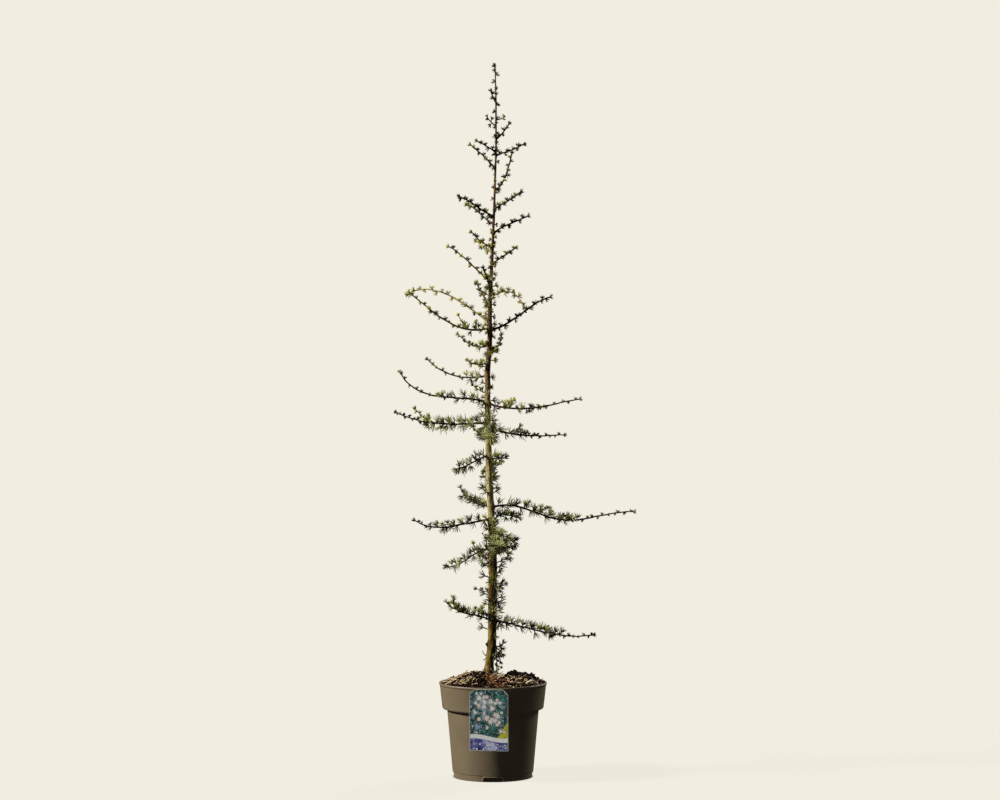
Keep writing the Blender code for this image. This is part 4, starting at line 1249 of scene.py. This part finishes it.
def grow(path, base, tip, start, needle, lush, mix, random, flare=0.0, density=1.0, hang=0.2):
    """One shoot: its limb, and the spurs up it in a spiral, as in the source but closer together."""
    limbs.append((path, base, tip, flare, mix is YELLOW_MIX or mix is GREEN_MIX))
    length = length_of(path)
    turn = random.uniform(0, 2 * math.pi)
    share = start + 0.35 * LUSH_SPACING / length
    while share < 1 - 0.005 / length:
        full = share < lush
        ahead = tangent_at(path, share)
        side = unit(np.cross(ahead, (0, 0, 1)))
        up = np.cross(side, ahead)
        turn += GOLDEN_TURN + random.normal(0, 0.25)
        outward = side * math.cos(turn) * 0.70 + up * math.sin(turn)
        edge = min(1.0, max(0.0, (lush - share) * length / 0.02)) if full else 0.0
        young = SHORT_REACH * (1.25 if mix is YELLOW_MIX else 0.8 if lush > 0.2 else 1.0) * random.uniform(0.7, 1.0)
        reach = needle * (0.92 + 0.12 * edge) if full else young
        reach *= (1.10 - 0.20 * share) * random.uniform(0.88, 1.12)
        lift = 0.75 if random.uniform() > hang else -0.45
        axis = unit(outward + ahead * (0.55 if full else 0.60) + np.array((0, 0, lift if full else 0.3)))
        radius = limb_radius(base, tip, share)
        barrel = radius + (random.uniform(0.0015, 0.0046) if full else random.uniform(0.0008, 0.0026))
        count = int(random.integers(8, 12)) if full else int(random.integers(9, 13))
        tone = random.choice(TONES, p=mix)
        thick, splay = (0.00105, 0.62) if full else (0.0011, 0.85)
        spurs.add(point_at(path, share), axis, barrel, thick, reach, count, tone, splay)
        spacing = (LUSH_SPACING if full else YOUNG_SPACING) / density
        share += spacing * random.uniform(0.75, 1.25) / length
    reach = needle * 0.7 if lush >= 0.9 else 0.0082
    tone = random.choice(TONES, p=mix)
    spurs.add(point_at(path, 0.992), tangent_at(path, 0.97), 0.0012, 0.0010, reach, 12, tone, 0.65)


for number, name, path, foot, start, twigs, base in plans:
    random = np.random.default_rng(900 + number)
    height, heading, length, low, middle, high, needle, lush, bare = SHOOTS[name]
    own = (LUSH_MIX, 1.0, 0.2, 3) if lush > 0.3 else (YOUNG_MIX, 1.0, 0.2, 0)
    mix, density, hang, twiglets, *part = HABITS.get(name, own)
    lush = part[0] if part else lush
    fine = refined(path, 0.0022, 0.00022, 40 + number, 0.0085 if lush > 0.9 else 0.0050)
    reach = needle / 1000 * (0.94 if lush == 1.0 else 1.0)
    tip = 0.0010 if mix is YELLOW_MIX else 0.0015 if mix is YOUNG_MIX else 0.0012
    base *= 1.12 if mix is YOUNG_MIX else 1.0
    grow(fine, base, tip, foot + 0.004 / length, reach, lush, mix, random, 1.0, density, hang)
    for k, twig in enumerate(twigs):
        side = refined(twig, 0.0022, 0.00015, 80 + 3 * number + k, 0.0050)
        part = SIDE_SHOOTS[name][k][0]
        full = 1.0 if lush >= 0.85 else 0.55 if part < 0.5 else 0.15
        grow(side, 0.0012, 0.0008, 0.10, reach * 0.72, full, mix, random, 0.5, density, hang)
    for k in range(twiglets):
        share = random.uniform(foot + 0.06, max(foot + 0.1, lush * 0.95))
        ahead = tangent_at(fine, share)
        side = unit(np.cross(ahead, (0, 0, 1)))
        turn = random.uniform(-0.5, math.pi + 0.5)
        outward = side * math.cos(turn) + np.cross(side, ahead) * math.sin(turn)
        heading_out = unit(outward + ahead * 0.8 + np.array((0, 0, 0.35)))
        long = random.uniform(0.009, 0.020)
        t = np.linspace(0, 1, 9)[:, None]
        twiglet = point_at(fine, share) + long * (heading_out * t + np.array((0, 0, 0.22)) * t * t)
        grow(twiglet, 0.00095, 0.0007, 0.30, reach * 0.80, 1.0, mix, random, 0.4, 1.1, hang)
print(len(limbs), "limbs and", len(spurs.rows), "spurs on them")

# %% [markdown]
# The trunk bears spurs of its own between the boughs. They crowd the lower half with
# long needles, thin out above, and stud the leader with short pale-green tufts. A few
# stand where the photo shows them at the trunk's edges.


# %% The trunk's own spurs
def trunk_spur(height, turn, barrel, reach, count, tone, rise=0.35, splay=1.0):
    centre, radius = trunk_at(height)
    outward = np.array((math.cos(turn), math.sin(turn), 0))
    axis = unit(outward + np.array((0, 0, rise)))
    root = np.array((centre[0], centre[1], height)) + outward * radius * 0.6
    spurs.add(root, axis, radius * 0.4 + barrel, 0.0012, reach, count, tone, splay)


TRUNK_BANDS = (
    (0.250, 0.300, 0.0200, 0.0120, DARK_MIX),
    (0.300, 0.345, 0.0092, 0.0150, DARK_MIX),
    (0.345, 0.455, 0.0088, 0.0150, DARK_MIX),
    (0.455, 0.520, 0.0080, 0.0165, GREEN_MIX),
    (0.565, 0.600, 0.0110, 0.0140, LUSH_MIX),
    (0.600, 0.690, 0.0260, 0.0115, LUSH_MIX),
    (0.690, 0.760, 0.0080, 0.0160, SAGE_MIX),
    (0.760, 0.850, 0.0115, 0.0115, SAGE_MIX),
    (0.850, 0.905, 0.0110, 0.0088, GREEN_MIX),
    (0.905, 1.020, 0.0046, 0.0108, GREEN_MIX),
    (1.020, 1.110, 0.0072, 0.0075, GREEN_MIX),
    (1.110, 1.300, 0.0115, 0.0075, YOUNG_MIX),
    (1.300, 1.440, 0.0105, 0.0075, YOUNG_MIX),
)
OPEN_BANDS = ((0.345, 0.455), (0.600, 0.690))
random = np.random.default_rng(77)
turn = 0.4
for low, high, spacing, reach, mix in TRUNK_BANDS:
    height = low
    while height < high:
        turn += GOLDEN_TURN + random.normal(0, 0.3)
        height += spacing * random.uniform(0.7, 1.3)
        barrel = random.uniform(0.0020, 0.0075) if reach > 0.010 else random.uniform(0.0008, 0.0024)
        count = int(random.integers(11, 16)) if reach > 0.008 else int(random.integers(8, 12))
        tone = random.choice(TONES, p=mix)
        bare = any(foot < height < top for foot, top in OPEN_BANDS) and math.sin(turn) < -0.55
        left = height < 0.455 and math.cos(turn) < -0.4
        if random.uniform() < (0.7 if bare else 0.85 if left else 0.0):
            continue
        trunk_spur(height, turn, barrel, reach * random.uniform(0.8, 1.15), count, tone, random.uniform(0.0, 0.6), 0.85)


def from_photo(x, y):
    """Sideways place and height of a pixel of the photo, at the trunk."""
    return (x - 493) / PIXELS_PER_METRE, (776 - y) / PIXELS_PER_METRE


# Spurs with the near-black tone, most of them by the lower trunk, carry painted shade.
SEEN_SPURS = (
    (483.4, 477.6, 180, 0.005, 0.012, "blue"),
    (481.0, 488.5, 185, 0.007, 0.015, "deep"),
    (484.0, 493.0, 215, 0.004, 0.016, "green"),
    (486.0, 567.0, 180, 0.008, 0.015, "deep"),
    (486.8, 577.8, 190, 0.009, 0.016, "deep"),
    (485.5, 595.7, 176, 0.009, 0.014, "deep"),
    (485.0, 605.0, 200, 0.006, 0.013, "green"),
    (481.0, 629.7, 184, 0.011, 0.015, "blue"),
    (498.7, 456.6, -10, 0.004, 0.016, "sage"),
    (499.3, 464.2, 10, 0.005, 0.015, "deep"),
    (497.0, 468.0, -35, 0.004, 0.014, "blue"),
    (498.7, 489.0, -14, 0.007, 0.012, "deep"),
    (501.4, 563.0, -5, 0.009, 0.013, "deep"),
    (502.4, 568.0, 25, 0.011, 0.014, "deep"),
    (500.0, 573.0, -30, 0.007, 0.013, "deep"),
    (500.2, 584.8, 8, 0.010, 0.014, "deep"),
    (498.0, 592.0, -25, 0.006, 0.012, "deep"),
    (502.0, 599.0, -8, 0.009, 0.014, "deep"),
    (502.0, 605.0, 20, 0.010, 0.015, "blue"),
    (499.0, 612.0, -20, 0.006, 0.013, "sage"),
    (498.8, 627.8, 4, 0.008, 0.014, "yellow"),
    (494.0, 574.0, -70, 0.004, 0.015, "blue"),
    (491.0, 583.0, -105, 0.004, 0.016, "blue"),
    (495.0, 588.0, -60, 0.004, 0.015, "sage"),
    (493.0, 610.0, -80, 0.004, 0.017, "sage"),
    (496.0, 616.0, -55, 0.005, 0.017, "sage"),
    (491.0, 621.0, -110, 0.004, 0.015, "sage"),
    (495.0, 626.0, -65, 0.004, 0.014, "blue"),
    (488.0, 417.0, -115, 0.004, 0.018, "sage"),
    (492.6, 424.0, -92, 0.005, 0.019, "sage"),
    (496.0, 418.0, -68, 0.006, 0.019, "sage"),
    (497.5, 427.0, -45, 0.006, 0.018, "sage"),
    (493.5, 430.0, -95, 0.005, 0.019, "sage"),
    (490.0, 433.0, -110, 0.004, 0.017, "sage"),
    (495.0, 434.0, -75, 0.004, 0.017, "sage"),
    (498.3, 532.8, -75, 0.005, 0.020, "sage"),
    (494.0, 541.0, -100, 0.005, 0.018, "sage"),
    (497.0, 522.0, -80, 0.004, 0.016, "sage"),
    (492.5, 537.0, -100, 0.004, 0.016, "deep"),
    (499.0, 545.0, -60, 0.005, 0.016, "deep"),
    (500.0, 537.0, -50, 0.007, 0.019, "green"),
    (497.0, 549.0, -70, 0.006, 0.018, "sage"),
    (491.0, 565.0, -100, 0.004, 0.015, "deep"),
    (494.0, 597.0, -78, 0.004, 0.015, "deep"),
    (490.5, 602.0, -112, 0.004, 0.014, "deep"),
    (494.0, 604.0, -65, 0.004, 0.015, "blue"),
)
for x, y, heading, barrel, reach, tone in SEEN_SPURS:
    trunk_spur(from_photo(x, y)[1], math.radians(heading), barrel, reach * 1.15, 11, tone, 0.35, 0.72)

# Thin twigs by the photo: a thread down to the mulch, and small dead or budding ones.
SEEN_TWIGS = (
    ((496.0, 645.0), (496.8, 658.0), (496.7, 669.0), -0.016, 0.0012, 0.006, SHADED_MIX),
    ((496.0, 647.0), (499.5, 646.0), (502.5, 643.5), 0.006, 0.0013, 0.015, SHADED_MIX),
    ((495.0, 647.0), (499.0, 649.5), (502.0, 653.0), -0.010, 0.0013, 0.017, SHADED_MIX),
    ((496.5, 651.0), (499.0, 655.0), (500.5, 660.0), -0.014, 0.0011, 0.012, SHADED_MIX),
    ((496.8, 664.0), (498.6, 665.5), (500.4, 666.0), -0.018, 0.0010, 0.009, FRONT_MIX),
    ((488.0, 655.0), (485.0, 654.6), (482.3, 650.0), -0.004, 0.0009, 0.0, DARK_MIX),
    ((487.6, 658.0), (485.2, 658.6), (483.2, 660.2), -0.004, 0.0009, 0.0, DARK_MIX),
    ((490.0, 538.3), (486.0, 537.8), (482.9, 533.8), -0.004, 0.0009, 0.004, DARK_MIX),
    ((496.6, 126.0), (491.0, 122.0), (487.4, 117.0), -0.002, 0.0011, 0.0085, YOUNG_MIX),
    ((497.0, 119.7), (500.5, 118.8), (502.8, 117.0), -0.002, 0.0011, 0.0085, YOUNG_MIX),
    ((486.0, 613.2), (481.0, 612.4), (476.5, 608.7), -0.010, 0.0010, 0.011, LUSH_MIX),
    ((489.0, 394.0), (481.0, 391.0), (473.5, 385.7), -0.006, 0.0010, 0.010, GREEN_MIX),
    ((496.6, 409.0), (505.0, 405.5), (513.0, 400.4), -0.012, 0.0010, 0.012, YELLOW_MIX),
)
for *spots, depth, thick, reach, mix in SEEN_TWIGS:
    spots = [np.array((from_photo(x, y)[0], depth * t, from_photo(x, y)[1])) for t, (x, y) in zip((0.3, 0.7, 1.0), spots)]
    t = np.linspace(0, 1, 12)[:, None]
    path = (1 - t) ** 2 * spots[0] + 2 * t * (1 - t) * (2 * spots[1] - 0.5 * (spots[0] + spots[2])) + t * t * spots[2]
    if reach:
        grow(path, thick * 1.3, thick * 0.8, 0.30, reach, 1.0, mix, random, density=1.2)
    else:
        limbs.append((path, thick * 1.3, thick * 0.6, 0.6, False))
print(len(spurs.rows), "spurs in all")

# %% [markdown]
# ## Bark
# Old bark has fine cracks that run up the stem, brown patches that crowd the lower
# stem, partly its own and partly painted shade, and pores across it. The relief is in the
# mesh where it changes the outline, and in the bump where it is finer.

# %% The trunk's mesh
RING_EVERY = 0.0018
AROUND = 36
heights = np.arange(0.2040, TREE_HEIGHT, RING_EVERY)


def eased(values, width):
    reach = int(3 * width / RING_EVERY) + 1
    kernel = np.exp(-0.5 * (np.arange(-reach, reach + 1) * RING_EVERY / width) ** 2)
    return np.convolve(np.pad(values, reach, "edge"), kernel / kernel.sum(), "valid")


trunk_x = eased(np.interp(heights, RING_HEIGHTS, RING_X), 0.007)
trunk_y = eased(np.interp(heights, RING_HEIGHTS, RING_Y), 0.007)
trunk_r = eased(np.interp(heights, RING_HEIGHTS, RING_RADII), 0.004)
turns = 2 * math.pi * np.arange(AROUND) / AROUND
relief = np.zeros((len(heights), AROUND))
for number, name, path, foot, start, twigs, base in plans:
    out = point_at(path, foot)
    centre, radius = trunk_at(out[2])
    at = math.atan2(out[1] - centre[1], out[0] - centre[0])
    away = np.angle(np.exp(1j * (turns - at)))
    size = min(base, 0.30 * radius + 0.0006)
    for lift, share in ((-0.0015, 0.75), (0.0008, 0.35)):
        rise = (heights - out[2] - lift) / (1.9 * base + 0.0012)
        relief += share * size * np.exp(-rise[:, None] ** 2) * np.exp(-(away[None, :] * radius / (1.3 * base + 0.0008)) ** 2)
for x, y, heading, *_ in SEEN_SPURS:
    at, level = math.radians(heading), from_photo(x, y)[1]
    away = np.angle(np.exp(1j * (turns - at)))
    relief += 0.0008 * np.exp(-((heights - level) / 0.003)[:, None] ** 2) * np.exp(-(away[None, :] / 0.35) ** 2)
knob = np.exp(-((heights - 0.2690) / 0.0065)[:, None] ** 2) * np.exp(-(np.angle(np.exp(1j * (turns - math.pi * 1.04))) / 0.62)[None, :] ** 2)
relief += 0.0022 * knob
flare = np.exp(-(heights - 0.2050) / 0.009)[:, None] * (0.5 + 0.5 * np.cos(4 * turns + 0.8))[None, :]
relief += 0.0030 * flare
for i, height in enumerate(heights):
    for k, turn in enumerate(turns):
        x, y = math.cos(turn), math.sin(turn)
        crack = noise.ridged_multi_fractal(Vector((x * 2.6, y * 2.6, height * 26)), 0.9, 2.1, 4, 0.9, 2.0)
        lump = noise.fractal(Vector((x * 1.3, y * 1.3, height * 48 + 9)), 1.0, 2.0, 3)
        relief[i, k] += trunk_r[i] * (0.085 * lump - 0.034 * (crack - 1.0))
reach = trunk_r[:, None] * 1.0 + relief
points = np.stack([trunk_x[:, None] + reach * np.cos(turns), trunk_y[:, None] + reach * np.sin(turns), np.repeat(heights[:, None], AROUND, 1)], -1)
points = points.reshape(-1, 3)
points = np.vstack([points, (trunk_x[0], trunk_y[0], heights[0]), (trunk_x[-1], trunk_y[-1], TREE_HEIGHT)])
side = np.arange(AROUND)
after = (side + 1) % AROUND
last = (len(heights) - 1) * AROUND
caps = np.vstack([
    np.stack([np.full(AROUND, len(points) - 2), after, side], 1),
    np.stack([np.full(AROUND, len(points) - 1), last + side, last + after], 1),
])

bark = Finish("young_bark", 0.75)
tone = bark.noise(58, 5, 0.68, (1.0, 1.0, 0.45))
OLD_STOPS = [
    (0.32, (0.026, 0.013, 0.004)),
    (0.44, (0.090, 0.052, 0.011)),
    (0.56, (0.285, 0.215, 0.032)),
    (0.72, (0.540, 0.450, 0.075)),
]
# The young bark's tones are partly its own paler colour and partly painted light, made brighter to make up for the
# needles' shade.
YOUNG_AND_LIT_BARK_STOPS = [
    (0.30, (0.210, 0.125, 0.045)),
    (0.44, (0.520, 0.400, 0.170)),
    (0.58, (0.825, 0.695, 0.335)),
    (0.78, (0.930, 0.850, 0.520)),
]
BROWN_BARK_STOPS = [
    (0.32, (0.040, 0.018, 0.008)),
    (0.46, (0.130, 0.066, 0.026)),
    (0.60, (0.300, 0.185, 0.080)),
    (0.76, (0.560, 0.420, 0.220)),
]
# Up the stem the bark turns to the young, paler tone: partly its own, partly painted light.
young_and_lit_up_stem = bark.between(bark.height(), 0.42, 0.54)
base = bark.mix(young_and_lit_up_stem, bark.steps(tone, OLD_STOPS), bark.steps(tone, YOUNG_AND_LIT_BARK_STOPS))
base = bark.mix(bark.between(bark.height(), 0.715, 0.82), base, bark.steps(tone, BROWN_BARK_STOPS))
# Dark brown patches, more of them low down: partly the bark's own patches, partly painted shade on the lower stem.
patch = bark.between(bark.noise(84, 5, 0.7, (1.0, 1.0, 0.50)), 0.50, 0.55)
low_patches_and_shade = bark.between(bark.height(), 0.42, 0.54, 0.86, 0.22)
base = bark.mix(bark.mix(1.0, patch, low_patches_and_shade, "MULTIPLY"), base, (0.070, 0.026, 0.008))
above = bark.between(bark.height(), 0.298, 0.304)
below = bark.between(bark.height(), 0.318, 0.311)
scar = bark.mix(1.0, bark.mix(1.0, above, below, "MULTIPLY"), bark.between(bark.noise(75, 4, 0.7), 0.42, 0.54, 0.2, 0.9), "MULTIPLY")
base = bark.mix(scar, base, (0.190, 0.066, 0.026))
algae = bark.between(bark.noise(26, 4, 0.6), 0.54, 0.68, 0.0, 0.4)
base = bark.mix(algae, base, (0.150, 0.165, 0.048))
line = bark.between(bark.noise(420, 4, 0.7, (1.0, 1.0, 0.10)), 0.56, 0.66, 0.0, 0.65)
base = bark.mix(line, base, (0.060, 0.036, 0.018))
# Painted shade: the bark is darkened where it faces right, away from the key light, more so low down, with a noisy
# edge.
painted_side_shade = bark.between(bark.sideways(), -0.30, 0.65, 0.0, 0.95)
painted_side_shade = bark.mix(1.0, painted_side_shade, bark.between(bark.noise(30, 3, 0.6, (1.0, 1.0, 0.6)), 0.36, 0.60, 0.35, 1.0), "MULTIPLY")
base = bark.mix(bark.mix(1.0, painted_side_shade, bark.between(bark.height(), 0.60, 0.44, 0.35, 1.0), "MULTIPLY"), base, (0.022, 0.012, 0.004))
foot_dirt = bark.between(bark.height(), 0.236, 0.212, 0.0, 0.7)
base = bark.mix(foot_dirt, base, (0.085, 0.046, 0.022))
bark.colour(base)
bark.rough(bark.noise(150, 4), 0.60, 0.88)
bark.set(Specular_IOR_Level=0.15)
bark.bump(bark.noise(420, 5, 0.7, (1.0, 1.0, 0.12)), 0.0006)
bark.bump(bark.noise(800, 3, 0.6), 0.00025)
bark.bump(bark.noise(110, 4, 0.6, (1.0, 1.0, 0.5)), 0.0040)
make_piece("trunk_bark", points, [grid_faces(len(heights), AROUND), caps], bark, "bark", ["trunk"])

stub = Heap()
stub_path = np.array([(-0.0095, -0.0020, 0.2660), (-0.0118, -0.0026, 0.2672), (-0.0134, -0.0030, 0.2692), (-0.0138, -0.0031, 0.2712)])
stub.add(*tube(stub_path, [0.0030, 0.0027, 0.0022, 0.0014], 10))
dead = woody("dead_wood", (0.006, 0.004, 0.002), (0.030, 0.018, 0.010), (0.085, 0.052, 0.028), 700)
stub.piece("trunk_stub", dead, "bark")

# %% The boughs and twigs
def twig_finish(name, stops):
    """Young bark with darker scars all over it."""
    look = Finish(name, 0.78)
    base = look.steps(look.noise(120, 5, 0.7), stops)
    scars = look.between(look.cells(360), 0.0, 0.35, 0.45, 0.0)
    look.colour(look.mix(scars, base, (0.030, 0.018, 0.010)))
    look.rough(look.noise(300, 3), 0.62, 0.90)
    look.bump(look.noise(900, 5, 0.7), 0.0004)
    return look.set(Specular_IOR_Level=0.2)


TWIG_STOPS = [(0.30, (0.016, 0.010, 0.006)), (0.50, (0.055, 0.036, 0.018)), (0.72, (0.150, 0.108, 0.055))]
YOUNG_STOPS = [(0.30, (0.300, 0.225, 0.070)), (0.50, (0.540, 0.440, 0.155)), (0.72, (0.740, 0.630, 0.290))]
twig_bark = twig_finish("twig_bark", TWIG_STOPS)
young_bark = twig_finish("green_twig_bark", YOUNG_STOPS)

LIMB_SIDES = 9
wood, young_wood = Heap(), Heap()
for number, (path, base, tip, flare, young) in enumerate(limbs):
    count = len(path)
    share = np.linspace(0, 1, count)
    along = share * length_of(path)
    radii = limb_radius(base, tip, share) * (1 + 0.55 * flare * np.exp(-np.maximum(0, along - 0.006 * flare) / 0.0035))
    turns = 2 * math.pi * np.arange(LIMB_SIDES) / LIMB_SIDES
    phase = number * 1.7
    knots = 0.10 * np.sin(along * 900 + phase) * np.sin(along * 370 + 2 * phase)
    cracks = 0.07 * np.sin(3 * turns[None, :] + 90 * along[:, None] + phase) + 0.04 * np.sin(5 * turns[None, :] - 260 * along[:, None])
    heap = young_wood if young else wood
    heap.add(*tube(path, radii[:, None] * (1 + knots[:, None] + cracks), LIMB_SIDES))
boughs = [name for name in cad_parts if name.startswith("bough_")]
masses = [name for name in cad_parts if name.startswith("foliage_")]
wood.piece("boughs_and_twigs", twig_bark, "bark", boughs + masses)
young_wood.piece("green_twigs", young_bark, "bark", masses)

# %% [markdown]
# ## Needles
# A needle is about a millimetre thick, stiff, a little curved and pointed. Each is a
# three-sided spindle in its own outline. Five tones are dealt out by rosette, from a
# near-black green that is painted shade, through blue-green to yellow-green, and every
# tone is one joined mesh.


# %% Barrels of the spurs
def barrels(roots, axes, lengths, thick):
    """The squat stems of all the spurs, ringed by old bud scales."""
    count = len(roots)
    side = rows_unit(np.cross(axes, np.tile((0.37, 0.21, 0.91), (count, 1))))
    up = np.cross(axes, side)
    sides = 6
    turns = 2 * math.pi * np.arange(sides) / sides
    ring = side[:, None] * np.cos(turns)[None, :, None] + up[:, None] * np.sin(turns)[None, :, None]
    levels = ((0.0, 0.80), (0.45, 0.78), (0.62, 1.12), (0.70, 0.92), (0.84, 1.25), (0.98, 1.05))
    points = []
    for at, width in levels:
        points.append(roots[:, None] + axes[:, None] * (lengths * at)[:, None, None] + ring * (thick * width)[:, None, None])
    points.append(np.repeat((roots + axes * (lengths + 0.0006)[:, None])[:, None], 1, 1))
    points = np.concatenate(points, 1)
    size = sides * len(levels) + 1
    first = np.arange(count)[:, None, None] * size
    quads = grid_faces(len(levels), sides)[None] + first
    k = np.arange(sides)
    top = sides * (len(levels) - 1)
    tip = np.stack([np.full(sides, size - 1), top + k, top + (k + 1) % sides], 1)[None] + first
    return points.reshape(-1, 3), quads.reshape(-1, 4), tip.reshape(-1, 3)


roots, axes, lengths, thick, reaches, counts, tones, splays = spurs.arrays()
spur_look = woody("spur_scales", (0.012, 0.007, 0.003), (0.050, 0.030, 0.013), (0.150, 0.098, 0.046), 700)
points, quads, tris = barrels(roots, axes, lengths, thick)
make_piece("spurs", points, [quads, tris], spur_look, "bark", masses)


# %% The needles
NEEDLE_THICK = 0.00082
YOUNG_THICK = 0.00096


def needle_mesh(starts, heads, lengths, bends, thick):
    """Spindles with three rings of three points and a tip."""
    count = len(starts)
    side = rows_unit(np.cross(heads, np.tile((0.29, 0.53, 0.80), (count, 1))))
    up = np.cross(heads, side)
    points = []
    for at, width in ((0.0, 0.62), (0.34, 1.0), (0.72, 0.86)):
        middle = starts + heads * (lengths * at)[:, None] + bends * (lengths * at * at)[:, None]
        for k in range(3):
            turn = 2 * math.pi * k / 3
            points.append(middle + (side * math.cos(turn) + up * math.sin(turn)) * (thick * width)[:, None])
    points.append(starts + heads * lengths[:, None] + bends * lengths[:, None])
    points = np.stack(points, 1)
    first = np.arange(count)[:, None, None] * 10
    quads = grid_faces(3, 3)[None] + first
    tip = np.array([(6, 7, 9), (7, 8, 9), (8, 6, 9)])[None] + first
    return points.reshape(-1, 3), quads.reshape(-1, 4), tip.reshape(-1, 3)


def needle_finish(name, dark, light, pale):
    """Needle green: paler lines of pores along it give the blue bloom."""
    look = Finish(name, 0.48)
    shade = look.steps(look.noise(160, 4, 0.7), [(0.30, dark), (0.70, light)])
    bloom = look.between(look.noise(700, 3, 0.7), 0.50, 0.68, 0.0, 0.45)
    look.colour(look.mix(bloom, shade, pale))
    look.rough(look.noise(400, 2), 0.40, 0.62)
    look.bump(look.noise(1500, 2), 0.00008)
    return look.set(Specular_IOR_Level=0.20)


# The first tone, near-black, is painted shade for needles in shade.
NEEDLE_TONES = {
    "deep": ((0.014, 0.016, 0.002), (0.058, 0.060, 0.010), (0.145, 0.147, 0.040)),
    "blue": ((0.088, 0.096, 0.026), (0.205, 0.215, 0.064), (0.400, 0.410, 0.160)),
    "sage": ((0.330, 0.342, 0.120), (0.600, 0.612, 0.255), (0.870, 0.875, 0.470)),
    "green": ((0.130, 0.150, 0.005), (0.335, 0.355, 0.028), (0.540, 0.555, 0.085)),
    "yellow": ((0.360, 0.325, 0.016), (0.690, 0.630, 0.066), (0.900, 0.840, 0.190)),
}
random = np.random.default_rng(5150)
owner = np.repeat(np.arange(len(counts)), counts)
place = np.concatenate([np.arange(n) for n in counts])
total = len(owner)
around = place * GOLDEN_TURN + random.uniform(0, 2 * math.pi, len(counts))[owner] + random.normal(0, 0.18, total)
spread = np.sqrt((place + 0.5) / counts[owner])
away = (0.12 + 1.22 * spread * splays[owner]) * random.normal(1, 0.08, total)
axis = axes[owner]
side = rows_unit(np.cross(axis, np.tile((0.37, 0.21, 0.91), (total, 1))))
up = np.cross(axis, side)
across = side * np.cos(around)[:, None] + up * np.sin(around)[:, None]
heads = axis * np.cos(away)[:, None] + across * np.sin(away)[:, None]
starts = roots[owner] + axis * (lengths[owner] - 0.0004)[:, None] + across * (thick[owner] * 0.55)[:, None]
needle_long = (reaches[owner] - 0.4 * np.minimum(lengths[owner], 0.3 * reaches[owner])) * random.uniform(0.74, 1.06, total)
bends = axis * random.uniform(0.02, 0.16, total)[:, None] + np.array((0, 0, 1)) * random.normal(-0.01, 0.05, total)[:, None]
width = np.where(reaches[owner] < 0.0095, YOUNG_THICK, NEEDLE_THICK) * random.uniform(0.85, 1.15, total)
for number, tone in enumerate(TONES):
    chosen = tones[owner] == number
    look = needle_finish("needle_" + tone, *NEEDLE_TONES[tone])
    points, quads, tris = needle_mesh(starts[chosen], heads[chosen], needle_long[chosen], bends[chosen], width[chosen])
    make_piece("needles_" + tone, points, [quads, tris], look, "needles", masses)
print(total, "needles")
